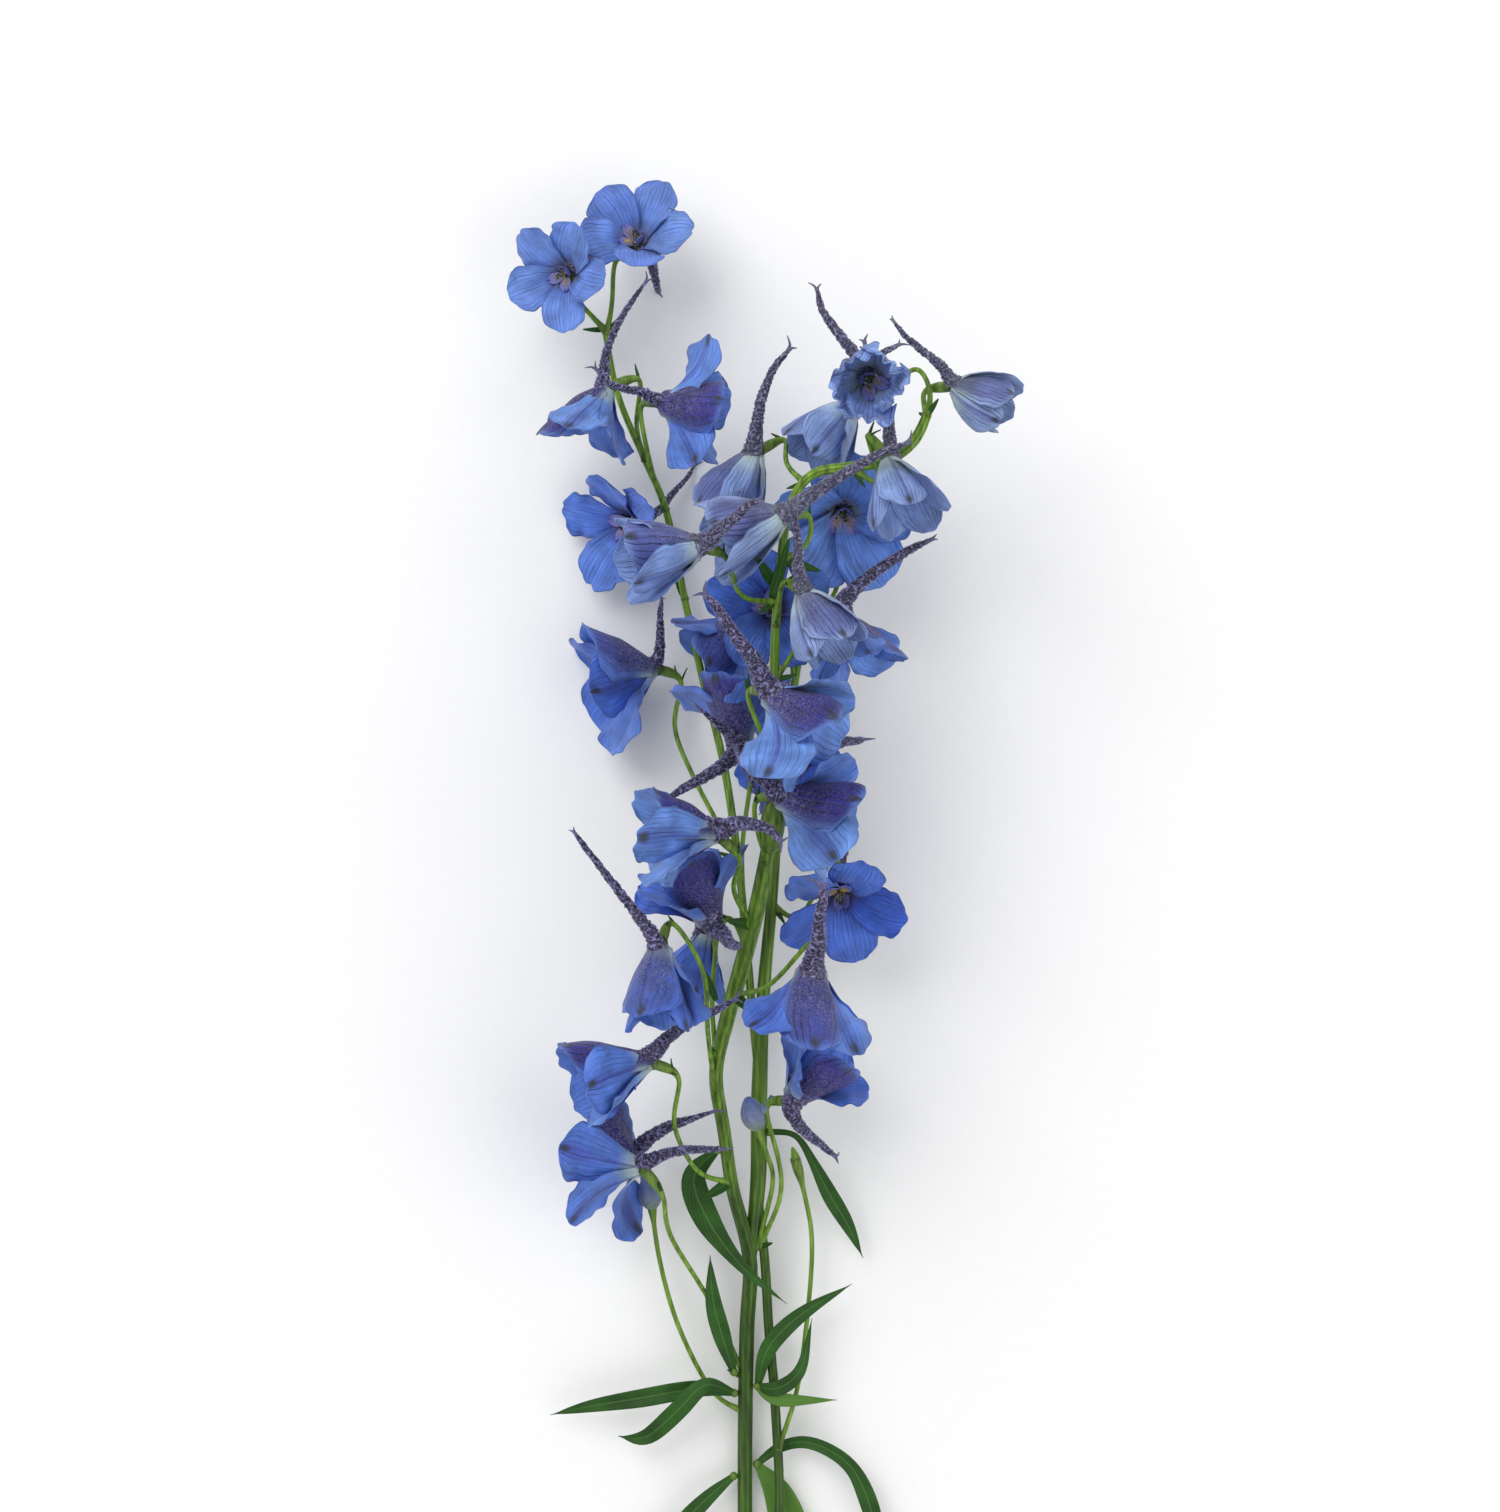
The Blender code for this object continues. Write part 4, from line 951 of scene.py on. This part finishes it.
def add_spur(casting, form, sizes):
    """The spur: a tapering, gently bent horn with warty skin, forked at its tip into curled points."""
    floret = form.floret
    draw = random.Random("spur " + floret.name)
    ts = np.linspace(0.0, 1.0, SPUR_RINGS)
    route = np.array([form.spur_point(t) for t in ts])
    aside = unit(np.cross(route[-1] - route[0], form.front))
    sway = draw.uniform(-1.1, 1.1) * wave(ts) * ramp(ts, 0.1, 0.5)
    hook = draw.choice((-1, 1)) * draw.uniform(1.0, 2.4) * ramp(ts, 0.84, 1.06)
    route = route + (sway + hook)[:, None] * aside
    route = route + (1 - ramp(ts, 0.0, 0.2))[:, None] * (1.1 * form.up + 1.2 * form.front)
    full = sizes.spur_radius / MM * floret.size * (0.9 + 0.1 * floret.age) * floret.stout
    radii = full * np.interp(ts, SPUR_PLACES, SPUR_RADII)
    if floret.flare[1] < BELL_FLARE and floret.face[1] < 60:
        # A floret seen from outside: its spur widens like a funnel into the hood, and ends within it
        depth = floret.size * np.linspace(FUNNEL_DEPTHS[-1], FUNNEL_DEPTHS[0], FUNNEL_RINGS)[:, None]
        reach = np.interp(depth, (0.5, 4.0, 7.5), (1.3, 1.5, 0.4))
        funnel = route[0] + depth * form.front + (reach - 1.3) * form.up
        route = np.concatenate([funnel, route])
        radii = np.concatenate([full * np.interp(depth[:, 0], FUNNEL_DEPTHS, FUNNEL_RADII), radii])
    add_horn(casting, form, route, radii, SPUR_SIDES, draw)
    for *places, radius in floret.side_spurs:
        route = smooth_route([seen(place) for place in places], 0.4)
        radii = radius * np.interp(np.linspace(0.0, 1.0, len(route)), SIDE_SPUR_PLACES, SIDE_SPUR_RADII)
        add_horn(casting, form, route, radii, SIDE_SPUR_SIDES, draw)


def add_horn(casting, form, route, radii, sides, draw):
    """One warty horn along a route, with the two curled points at its tip."""
    age = form.floret.age
    for _ in range(4):
        evened(radii)
    offset = Vector((draw.uniform(0, 50), draw.uniform(0, 50), draw.uniform(0, 50)))

    def warty(along, turns, points, radius):
        raised = ridges(points, WART_SCALE, offset)
        return (0.5 * raised - 0.2) * min(1.0, radius / 1.5), raised

    marks = np.zeros((len(route), 4))
    marks[:, 3] = age
    casting.tube(route, radii, sides, marks, 1, warty)
    tip, ahead = route[-1], unit(route[-1] - route[-6])
    side = unit(np.cross(ahead, form.front + 0.3 * form.up))
    for way in (-1, 1):
        bend = way * draw.uniform(0.5, 1.0)
        reach = draw.uniform(2.2, 4.2) * form.floret.size
        prong = [tip - 0.6 * ahead, tip + 0.4 * reach * ahead + 0.25 * bend * reach * side,
                 tip + 0.8 * reach * ahead + bend * reach * side]
        path = smooth_route(prong, 0.5)
        casting.tube(path, np.linspace(0.19 * radii.max(), 0.12, len(path)), 8, (0, 0, 0.3, age), 1)


def ridges(points, scale, offset):
    """Ridged noise at each point: 1 on a maze of thin lines and 0 in the hollows between them."""
    values = np.array([noise.noise(Vector(point) * scale + offset) for point in points])
    fine = np.array([noise.noise(Vector(point) * scale * 2.3 - offset) for point in points])
    return np.clip(1 - 6.0 * np.abs(values + 0.3 * fine), 0.0, 1.0)


def add_receptacle(casting, form):
    """The small green boss where the stalk widens into the floret."""
    route = [form.base + reach * form.attach for reach in np.linspace(2.6, -0.8, len(BOSS_RADII))]
    marks = np.zeros((len(BOSS_RADII), 4))
    marks[:, 0] = np.linspace(0.1, 0.5, len(BOSS_RADII))
    casting.tube(route, np.array(BOSS_RADII) * form.floret.size, 14, marks, 2)


def petal_surface(form, turn, tilts, length, width):
    """The grid of one small inner petal, with a notch at its tip, and its UVs."""
    out = form.radial(turn)
    root = form.base + (HUB_RADIUS + JOIN_GAP) * form.front * 0.5 + 0.9 * out
    u, v = grid_steps(PETAL_ROWS, PETAL_COLUMNS)
    middle, normal = form.bowed(root, out, tilts, length, u[:, 0])
    half = 0.5 * width * (0.28 + 0.72 * np.sin(math.pi * u ** 1.3) ** 0.8) + 0.05
    back = -0.18 * length * np.exp(-(v / 0.3) ** 2) * ramp(u, 0.75, 1.0)
    ahead = np.sin(math.radians(tilts[1])) * out + math.cos(math.radians(tilts[1])) * form.front
    sideways = np.cross(form.front, out)
    bulge = 0.22 * half * v * v
    surface = (middle[:, None, :] + (v * half)[..., None] * sideways + back[..., None] * ahead
               - bulge[..., None] * normal[:, None, :])
    return surface, grid_uvs(u, v)


# Geometry Nodes trees for what repeats

def new_tree(name, **inputs):
    """An empty tree of geometry nodes, and the sockets of its inputs, which are given by name and type."""
    tree = bpy.data.node_groups.new(name, "GeometryNodeTree")
    for title, kind in inputs.items():
        tree.interface.new_socket(title, in_out="INPUT", socket_type="NodeSocket" + kind)
    tree.interface.new_socket("Geometry", in_out="OUTPUT", socket_type="NodeSocketGeometry")
    return tree, node(tree, "NodeGroupInput").outputs


def stamen_tree():
    """A tuft of stamens: filaments that lean out from one point, each with an anther at its end."""
    tree, given = new_tree("Stamen tuft", Count="Int", Length="Float", Spread="Float", Filament="Material",
                           Anther="Material")

    def add(kind, links=None, **settings):
        return node(tree, kind, links, **settings).outputs

    line = add("GeometryNodeCurvePrimitiveLine", {"Start": (0, 0, 0), "End": (0, 0, 1)})[0]
    ring = add("GeometryNodeCurvePrimitiveCircle", {"Resolution": 5, "Radius": 0.022})[0]
    filament = add("GeometryNodeCurveToMesh", {"Curve": line, "Profile Curve": ring, "Fill Caps": True})[0]
    pale = add("GeometryNodeSetMaterial", {"Geometry": filament, "Material": given["Filament"]})[0]
    knob = add("GeometryNodeMeshUVSphere", {"Segments": 7, "Rings": 5, "Radius": 0.075})[0]
    dark = add("GeometryNodeSetMaterial", {"Geometry": knob, "Material": given["Anther"]})[0]
    high = add("GeometryNodeTransform", {"Geometry": dark, "Translation": (0, 0, 1.0), "Scale": (1.0, 0.7, 1.7)})[0]
    both = node(tree, "GeometryNodeJoinGeometry")
    tree.links.new(pale, both.inputs[0])
    tree.links.new(high, both.inputs[0])

    # One stamen for each count, a golden angle farther round than the last
    dots = add("GeometryNodeMeshLine", {"Count": given["Count"], "Offset": (0, 0, 0)}, mode="OFFSET")[0]
    number = add("GeometryNodeInputIndex")[0]
    turn = add("ShaderNodeMath", {0: number, 1: 2.4}, operation="MULTIPLY")[0]
    lean = add("FunctionNodeRandomValue", {"Min": 0.05, "Max": given["Spread"], "ID": number, "Seed": 4},
               data_type="FLOAT")[1]
    tilt = add("ShaderNodeCombineXYZ", {0: lean, 2: turn})[0]
    size = add("FunctionNodeRandomValue", {"Min": 0.75, "Max": 1.1, "ID": number, "Seed": 9}, data_type="FLOAT")[1]
    long = add("ShaderNodeMath", {0: size, 1: given["Length"]}, operation="MULTIPLY")[0]
    placed = add("GeometryNodeInstanceOnPoints", {"Points": dots, "Instance": both.outputs[0], "Rotation": tilt,
                                                  "Scale": long})[0]
    add("NodeGroupOutput", {0: add("GeometryNodeRealizeInstances", {0: placed})[0]})
    return tree


def beard_tree():
    """Hairs that stand on a surface, one thin cone for each, leaning at random."""
    tree, given = new_tree("Petal beard", Geometry="Geometry", Density="Float", Length="Float", Hair="Material")
    dots = node(tree, "GeometryNodeDistributePointsOnFaces", {"Mesh": given["Geometry"], "Density": given["Density"],
                                                              "Seed": 3}).outputs
    cone = node(tree, "GeometryNodeMeshCone", {"Vertices": 4, "Radius Bottom": 0.07, "Radius Top": 0.02,
                                               "Depth": 1.0})
    turn = node(tree, "FunctionNodeRandomValue", {"Min": (-0.5, -0.5, 0.0), "Max": (0.5, 0.5, 6.28), "Seed": 5},
                data_type="FLOAT_VECTOR")
    aim = node(tree, "FunctionNodeAlignRotationToVector", {"Vector": dots["Normal"]}, axis="Z")
    spun = node(tree, "FunctionNodeRotateRotation", {0: aim.outputs[0]}, rotation_space="LOCAL")
    tree.links.new(turn.outputs[0], spun.inputs[1])
    placed = node(tree, "GeometryNodeInstanceOnPoints", {"Points": dots[0], "Instance": cone.outputs[0],
                                                         "Rotation": spun.outputs[0], "Scale": given["Length"]})
    real = node(tree, "GeometryNodeRealizeInstances", {0: placed.outputs[0]})
    hair = node(tree, "GeometryNodeSetMaterial", {"Geometry": real.outputs[0], "Material": given["Hair"]})
    node(tree, "NodeGroupOutput", {0: hair.outputs[0]})
    return tree


def grown(mesh, tree, **values):
    """The plain mesh that a tree of nodes makes of a mesh. values are set by each input's name."""
    holder = linked("grown", mesh)
    modifier = holder.modifiers.new("Grow", "NODES")
    modifier.node_group = tree
    for item in tree.interface.items_tree:
        if item.in_out == "INPUT" and item.name in values:
            modifier[item.identifier] = values[item.name]
    depsgraph = bpy.context.evaluated_depsgraph_get()
    made = bpy.data.meshes.new_from_object(holder.evaluated_get(depsgraph))
    holder.modifiers.remove(modifier)
    bpy.data.objects.remove(holder, do_unlink=True)
    return made


def joined(name, meshes, materials):
    """One object out of several meshes, each given with the matrix that puts it in place."""
    whole = bmesh.new()
    for mesh, matrix in meshes:
        mesh = mesh.copy()
        mesh.transform(matrix)
        remap = [materials.index(slot) if slot else 0 for slot in mesh.materials] or [0]
        start = len(whole.faces)
        whole.from_mesh(mesh)
        whole.faces.ensure_lookup_table()
        for face in whole.faces[start:]:
            face.material_index = remap[min(face.material_index, len(remap) - 1)]
        bpy.data.meshes.remove(mesh)
    bmesh.ops.recalc_face_normals(whole, faces=whole.faces)
    result = bpy.data.meshes.new(name)
    whole.to_mesh(result)
    whole.free()
    return linked(name, finished(result, materials))


# Operators

class DELPHINIUM_OT_stage(bpy.types.Operator):
    """Lay a pale table, hang soft lights over it and look straight down"""

    bl_idname = "delphinium.stage"
    bl_label = "Stage"

    def execute(self, context):
        scene = context.scene
        mesh = bpy.data.meshes.new("table")
        corners = [(x * TABLE_HALF, y * TABLE_HALF, 0.0) for x, y in ((-1, -1), (1, -1), (1, 1), (-1, 1))]
        mesh.from_pydata(corners, [], [(0, 1, 2, 3)])
        # Matt white paper, which takes the plant's soft shadow
        look = Look("Matt white paper", 0.9, 1.5)
        tint = look.span(look.noise(look.place(), 300.0), 0.0, 1.0, 0.93, 0.96)
        look.tree.links.new(tint, look.shader.inputs["Base Color"])
        mesh.materials.append(look.material)
        table = linked("table", mesh)

        world = bpy.data.worlds.new("Soft room")
        world.use_nodes = True
        scene.world = world
        sky = world.node_tree.nodes["Background"]
        sky.inputs["Color"].default_value = (1.0, 1.0, 1.0, 1.0)
        sky.inputs["Strength"].default_value = SKY_STRENGTH
        for name, place, size, power in LAMPS:
            light = bpy.data.lights.new(name, "AREA")
            light.size = size
            light.energy = power
            lamp = linked(name, light)
            lamp.location = place
            lamp.rotation_euler = (-Vector(place)).to_track_quat("-Z", "Y").to_euler()

        eye = bpy.data.cameras.new("eye")
        eye.sensor_width = SENSOR_WIDTH
        eye.sensor_fit = "HORIZONTAL"
        eye.lens = SENSOR_WIDTH * (EYE_HEIGHT - SCALE_HEIGHT) / (VIEW_SCALE * 2 * VIEW_MIDDLE[0])
        camera = linked("eye", eye)
        camera.location = (-BOX_MIDDLE[0] * MM, -BOX_MIDDLE[1] * MM, EYE_HEIGHT * MM)
        scene.camera = camera
        scene.view_settings.view_transform = "Standard"
        return {"FINISHED"}


class DELPHINIUM_OT_calyces(bpy.types.Operator):
    """Grow the five sepals and the spur of every floret"""

    bl_idname = "delphinium.calyces"
    bl_label = "Sepals and spurs"

    def execute(self, context):
        sizes = context.scene.delphinium_sizes
        looks = [material(name) for name in ("Living sepal tissue", "Warty spur skin", "Fresh green stem skin")]
        sheet = 2 * SEPAL_ROWS * SEPAL_COLUMNS
        for floret in FLORETS:
            form = FloretForm(floret)
            casting = Casting()
            for index in range(len(SEPAL_TURNS)):
                add_sepal(casting, form, index, sizes)
            add_spur(casting, form, sizes)
            add_receptacle(casting, form)
            piece = casting.cast("sepals_" + floret.name, looks)
            # How dark each sepal is, and the shift that gives it its own piece of the noise
            draw = random.Random("tone " + floret.name)
            deep, apart = np.full(casting.count, floret.deep), np.zeros(casting.count)
            for index in range(len(SEPAL_TURNS)):
                own = slice(index * sheet, (index + 1) * sheet)
                deep[own] += draw.uniform(-0.2, 0.2)
                apart[own] = draw.uniform(0, 40)
            for name, values in (("deep", np.clip(deep, 0, 1)), ("apart", apart)):
                layer = piece.data.attributes.new(name, "FLOAT", "POINT")
                layer.data.foreach_set("value", values.astype(np.float32))
            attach(piece, "root")
            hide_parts("calyx_" + floret.name)
        return {"FINISHED"}


class DELPHINIUM_OT_centres(bpy.types.Operator):
    """Set the small inner petals, their beards and the stamens into every open floret"""

    bl_idname = "delphinium.centres"
    bl_label = "Inner petals and stamens"

    def execute(self, context):
        sizes = context.scene.delphinium_sizes
        looks = [material(name) for name in ("Pale inner petal", "Yellow beard hair", "Dark anther",
                                             "Pale filament")]
        petal, hair, anther, filament = looks
        beard = beard_tree()
        tuft = grown(bpy.data.meshes.new("tuft"), stamen_tree(), Count=sizes.stamen_count,
                     Length=STAMEN_LENGTH * MM, Spread=STAMEN_LEAN, Filament=filament, Anther=anther)
        plain = np.zeros((PETAL_ROWS, PETAL_COLUMNS, 4))
        for floret in FLORETS:
            if floret.age < OPEN_AGE:
                continue
            form = FloretForm(floret)
            casting = Casting()
            hairs = []
            for turn in PETAL_TURNS:
                lower = 90 < turn < 270
                tilts, length, width = LOWER_PETAL if lower else UPPER_PETAL
                surface, uvs = petal_surface(form, turn, tilts, length * floret.size, width * floret.size)
                casting.slab(surface, PETAL_WALL, uvs, plain, plain, 0)
                if lower:
                    hairs.append((self.bearded(surface[3:9, 2:7], form, beard, sizes, hair), Matrix()))
            petals = casting.cast("petals", [petal])
            turn = Vector(form.front).to_track_quat("Z", "Y").to_matrix().to_4x4()
            turn.translation = Vector((form.base + TUFT_PLACE * form.front) * MM)
            piece = joined("bee_" + floret.name, [(petals.data, Matrix()), (tuft, turn), *hairs], looks)
            bpy.data.objects.remove(petals, do_unlink=True)
            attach(piece, "root")
            if floret.centre:
                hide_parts("centre_" + floret.name)
        return {"FINISHED"}

    def bearded(self, patch, form, beard, sizes, hair):
        """The hairs on a patch of a petal, on the side that looks out of the floret."""
        mesh = bpy.data.meshes.new("patch")
        mesh.from_pydata((patch.reshape(-1, 3) * MM).tolist(), [], grid_faces(*patch.shape[:2]))
        mesh.update()
        normal = np.mean([np.array(face.normal) for face in mesh.polygons], axis=0)
        if normal @ (form.front - 0.2 * form.up) < 0:
            mesh.flip_normals()
        return grown(mesh, beard, Density=sizes.beard_density / MM ** 2, Length=HAIR_LENGTH * MM, Hair=hair)


class DELPHINIUM_OT_stem(bpy.types.Operator):
    """Grow the ribbed stem axes, the stalks with their bracteoles, the bracts and the pod"""

    bl_idname = "delphinium.stem"
    bl_label = "Stem and stalks"

    def execute(self, context):
        sizes = context.scene.delphinium_sizes
        skin, blade = material("Fresh green stem skin"), material("Matt leaf blade")
        stems, stalks, leaflets = Casting(), Casting(), Casting()
        self.add_axes(stems, sizes.stem_ribs)
        self.add_cap(stems)
        for floret in FLORETS:
            form = FloretForm(floret)
            end = form.base + (HUB_RADIUS + JOIN_GAP) * form.attach
            neck = end + NECK_LENGTH * form.attach
            points = [seen(place) for place in floret.stalk] + [neck, end, form.base + 1.0 * form.attach]
            route = smooth_route(points, 1.0, 14)
            self.add_stalk(stalks, route, sizes)
            self.add_bracteoles(leaflets, route, floret)
            self.add_bract(leaflets, floret, route)
        for root, tip, width in BRACTS:
            root, tip = seen(root), seen(tip)
            self.add_blade(leaflets, root, unit(tip - root), BRACT_BACK, np.linalg.norm(tip - root), width)
        for middle, *_, places in (*BUDS.values(), POD):
            route = smooth_route([seen(place) for place in places] + [seen(middle)], 1.0, 8)
            self.add_stalk(stalks, route, sizes)
        middle, places = POD
        self.add_pod(stalks, seen(middle), unit(seen(middle) - seen(places[-1])))
        axes = stems.cast("stem_axes", [skin])
        grown_stalks = stalks.cast("stalks", [skin])
        bracts = leaflets.cast("bracts", [blade])
        for piece, slot in ((axes, "stem"), (grown_stalks, "stem"), (bracts, "leaf")):
            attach(piece, "root")
        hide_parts("stem")
        return {"FINISHED"}

    def add_axes(self, casting, ribs):
        """The green axes, shaded between their ribs and towards the cut end."""
        def ribbed(along, turns, points, radius):
            rib = np.cos(ribs * turns + 0.02 * along)
            near_foot = 1 - ramp(points[:, 1], -110, -60)
            return radius * (0.07 * rib - 0.02), 0.8 * (0.5 - 0.5 * rib) + 0.6 * near_foot

        for name, places in AXES.items():
            route = smooth_route([[*seen(place), place[3]] for place in places], 1.6, 3)
            marks = np.zeros((len(route), 4))
            # Lighter, yellower green above the cut end and more again up the stems: partly the stems' own fresher
            # green, partly painted light that lifts them where the florets above shade them
            marks[:, 1] = 0.2 if name == "left" else 0.05
            marks[:, 1] += 0.42 * ramp(route[:, 1], -75, -35) + 0.35 * ramp(route[:, 1], 95, 150)
            casting.tube(route, route[:, 3], AXIS_SIDES, marks, 0, ribbed)

    def add_cap(self, casting):
        """The swollen, fluted cap on the node of the front spike, with painted shade in its grooves."""
        route = smooth_route([seen(place) for place in NODE_CAP], 0.6)
        count = len(route)
        marks = np.zeros((count, 4))
        marks[:, 0] = np.linspace(0.5, 0.0, count)
        marks[:, 1] = 0.5

        def fluted(along, turns, points, radius):
            # The grooves between the flutes get the shade mark: painted shade
            flute = np.abs(np.cos(4 * turns))
            return 0.16 * radius * flute, 1 - flute

        radii = CAP_RADIUS * np.sin(math.pi * np.linspace(0.08, 0.85, count)) ** 0.55
        casting.tube(route, radii, CAP_SIDES, marks, 0, fluted)

    def add_stalk(self, casting, route, sizes):
        """A flower stalk that flares where it leaves the stem and thickens under its floret."""
        lengths = distances(route)
        left = lengths[-1] - lengths
        radii = sizes.stalk_radius / MM * (1 + 0.9 * np.exp(-lengths / 2.5) + 1.25 * (1 - ramp(left, 3.0, 10.0)))
        marks = np.zeros((len(route), 4))
        marks[:, 0] = 0.5 * np.exp(-left / 5.0) + 0.3 * np.exp(-lengths / 3.0)
        marks[:, 1] = 0.45
        casting.tube(route, radii, STALK_SIDES, marks, 0)

    def add_blade(self, casting, root, along, lift, length, width):
        """A small narrow leaf that leaves root and curves along its own back."""
        u, v = grid_steps(12, 5)
        across = unit(np.cross(along, lift))
        up = np.cross(across, along)
        half = 0.5 * width * (0.45 + 0.55 * np.sin(math.pi * u ** 0.8)) * (1 - u) ** 0.35 + 0.05
        middle = root + length * u * along + 0.18 * length * u * u * up
        surface = (middle[:, None, :] + (v * half)[..., None] * across
                   + (0.5 * half * np.abs(v))[..., None] * up)
        marks = np.zeros((*surface.shape[:2], 4))
        casting.slab(surface, BLADE_WALL, grid_uvs(u, v), marks, marks, 0)

    def add_bracteoles(self, casting, route, floret):
        """The pair of narrow leaflets a little way below the floret."""
        draw = random.Random("leaflet " + floret.name)
        lengths = distances(route)
        for gap in (draw.uniform(6.5, 8.5), draw.uniform(7.5, 10.0)):
            index = int(np.searchsorted(lengths, max(1.0, lengths[-1] - gap)))
            index = min(max(index, 1), len(route) - 2)
            along = unit(route[index + 1] - route[index - 1])
            turn = draw.uniform(0, 2 * math.pi)
            side = unit(np.cross(along, heading(math.degrees(turn), 20)))
            ahead = unit(along + 0.55 * side)
            self.add_blade(casting, route[index], ahead, side, draw.uniform(3.5, 5.5), 1.0)

    def add_bract(self, casting, floret, route):
        """The small leaf below the root of the stalk."""
        ahead = unit(route[4] - route[0])
        along = unit(ahead - 0.7 * np.array((0.0, 1.0, 0.0)))
        length, width = LARGE_BRACT if floret.bract else SMALL_BRACT
        self.add_blade(casting, route[0], along, BRACT_BACK, length, width)

    def add_pod(self, casting, middle, axis):
        """The small green pod of three lobes, narrowing towards its tip."""
        ts = np.linspace(0.0, 1.0, 16)
        route = middle + (POD_LENGTH * (ts - 0.5))[:, None] * axis
        radii = POD_RADIUS * np.sin(math.pi * (0.06 + 0.88 * ts)) ** 0.6 * (1 - 0.45 * ts)

        def lobed(along, turns, points, radius):
            return 0.16 * radius * np.cos(3 * turns), 0

        marks = np.zeros((len(ts), 4))
        marks[:, 1] = 0.4
        casting.tube(route, radii, 18, marks, 0, lobed)


class DELPHINIUM_OT_leaves(bpy.types.Operator):
    """Grow the folded, veined lobes of every leaf"""

    bl_idname = "delphinium.leaves"
    bl_label = "Leaves"

    def execute(self, context):
        looks = [material("Matt leaf blade"), material("Fresh green stem skin")]
        for name, (sheath, lobes) in LEAVES.items():
            casting = Casting()
            draw = random.Random(name)
            for index, places in enumerate(lobes):
                route = smooth_route([(*seen(sheath), 0.9), *[(*seen(place), place[3]) for place in places]], 1.6, 4)
                self.add_lobe(casting, route, draw.uniform(0, 6), 0.75 if (name, index) in FRESH_LOBES else 0.0)
            collar = seen(sheath) + np.outer(np.linspace(-1.3, 1.3, 9), (0.0, 0.0, 1.0))
            radii = 1.25 * np.sqrt(1 - np.linspace(-0.98, 0.98, 9) ** 2)
            casting.tube(collar, radii, 14, (0.2, 0.3, 0, 0), 1)
            piece = casting.cast(name + "_blades", looks)
            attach(piece, "root")
            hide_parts(name)
        return {"FINISHED"}

    def add_lobe(self, casting, route, phase, fresh):
        """One long lobe, folded along its midrib, with a gently waved edge."""
        u, v = grid_steps(len(route), 9)
        middle = route[:, :3]
        width = np.maximum(route[:, 3:], 0.12) * (1 - ramp(u, 0.9, 1.02) * 0.6)
        along = unit(np.gradient(middle, axis=0))
        across = unit(np.stack([along[:, 1], -along[:, 0], np.zeros(len(route))], 1))
        lift = np.cross(across, along)
        fold = 0.32 * (np.sqrt(v * v + 0.03) - 0.17)
        ripple = 0.12 * (np.sin(phase + 9 * u) * (np.abs(v) ** 2 * np.sign(v)))
        height = width * (fold + ripple)
        surface = (middle[:, None, :] + (width * v)[..., None] * across[:, None, :]
                   + height[..., None] * lift[:, None, :])
        marks = np.zeros((*surface.shape[:2], 4))
        marks[..., 1] = fresh
        wall = LOBE_WALL * (0.5 + 0.5 * (1 - np.abs(v) ** 2))
        casting.slab(surface, wall, grid_uvs(u, v), marks, marks, 0)


class DELPHINIUM_OT_buds(bpy.types.Operator):
    """Grow the closed buds with the seams of their sepals and their stubby spurs"""

    bl_idname = "delphinium.buds"
    bl_label = "Buds"

    def execute(self, context):
        look = material("Downy bud skin")

        def seamed(along, turns, points, radius):
            return -0.14 * radius * np.abs(np.cos(2.5 * turns + 0.05 * along)) ** 6 + 0.02 * radius, 0

        for name, (middle, spur_tip, places) in BUDS.items():
            casting = Casting()
            centre = seen(middle)
            axis = unit(centre - seen(places[-1]))
            ts = np.linspace(0.0, 1.0, 30)
            route = centre + (BUD_LENGTH * (ts - 0.5))[:, None] * axis
            radii = BUD_RADIUS * np.sin(math.pi * (0.03 + 0.94 * ts ** 0.92)) ** 0.65 * (1 - 0.12 * ts)
            casting.tube(route, radii, 30, (0, 0, 0, 0), 0, seamed)
            ts = np.linspace(0.0, 1.0, 20)
            horn = centre + ts[:, None] * (seen(spur_tip) - centre) + (1.2 * np.sin(math.pi * ts))[:, None] * -axis
            casting.tube(horn, np.interp(ts, (0, 0.5, 1), BUD_SPUR_RADII), 14, (0, 0, 0, 0), 0)
            piece = casting.cast("closed_bud_" + name, [look])
            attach(piece, "root")
            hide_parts("bud_" + name)
        return {"FINISHED"}


class DELPHINIUM_PT_panel(bpy.types.Panel):
    """Lists the steps that build the plant and its stage"""

    bl_idname = "DELPHINIUM_PT_panel"
    bl_label = "Delphinium flower spike"
    bl_space_type = "VIEW_3D"
    bl_region_type = "UI"
    bl_category = "Delphinium"

    def draw(self, context):
        layout = self.layout
        for settings in (context.scene.delphinium_sizes, context.scene.delphinium_colours):
            for key in settings.__annotations__:
                layout.prop(settings, key)
        for step in STEPS:
            layout.operator(step.bl_idname, text=step.bl_label)


STEPS = (DELPHINIUM_OT_stage, DELPHINIUM_OT_stem, DELPHINIUM_OT_leaves, DELPHINIUM_OT_calyces,
         DELPHINIUM_OT_centres, DELPHINIUM_OT_buds)
CLASSES = (DelphiniumSizes, DelphiniumColours, *STEPS, DELPHINIUM_PT_panel)


def register():
    for item in CLASSES:
        bpy.utils.register_class(item)
    bpy.types.Scene.delphinium_sizes = PointerProperty(type=DelphiniumSizes)
    bpy.types.Scene.delphinium_colours = PointerProperty(type=DelphiniumColours)


def unregister():
    del bpy.types.Scene.delphinium_colours
    del bpy.types.Scene.delphinium_sizes
    for item in reversed(CLASSES):
        bpy.utils.unregister_class(item)


def main():
    register()
    bpy.ops.delphinium.stage()
    bpy.ops.delphinium.stem()
    bpy.ops.delphinium.leaves()
    bpy.ops.delphinium.calyces()
    bpy.ops.delphinium.centres()
    bpy.ops.delphinium.buds()


if __name__ == "__main__":
    main()
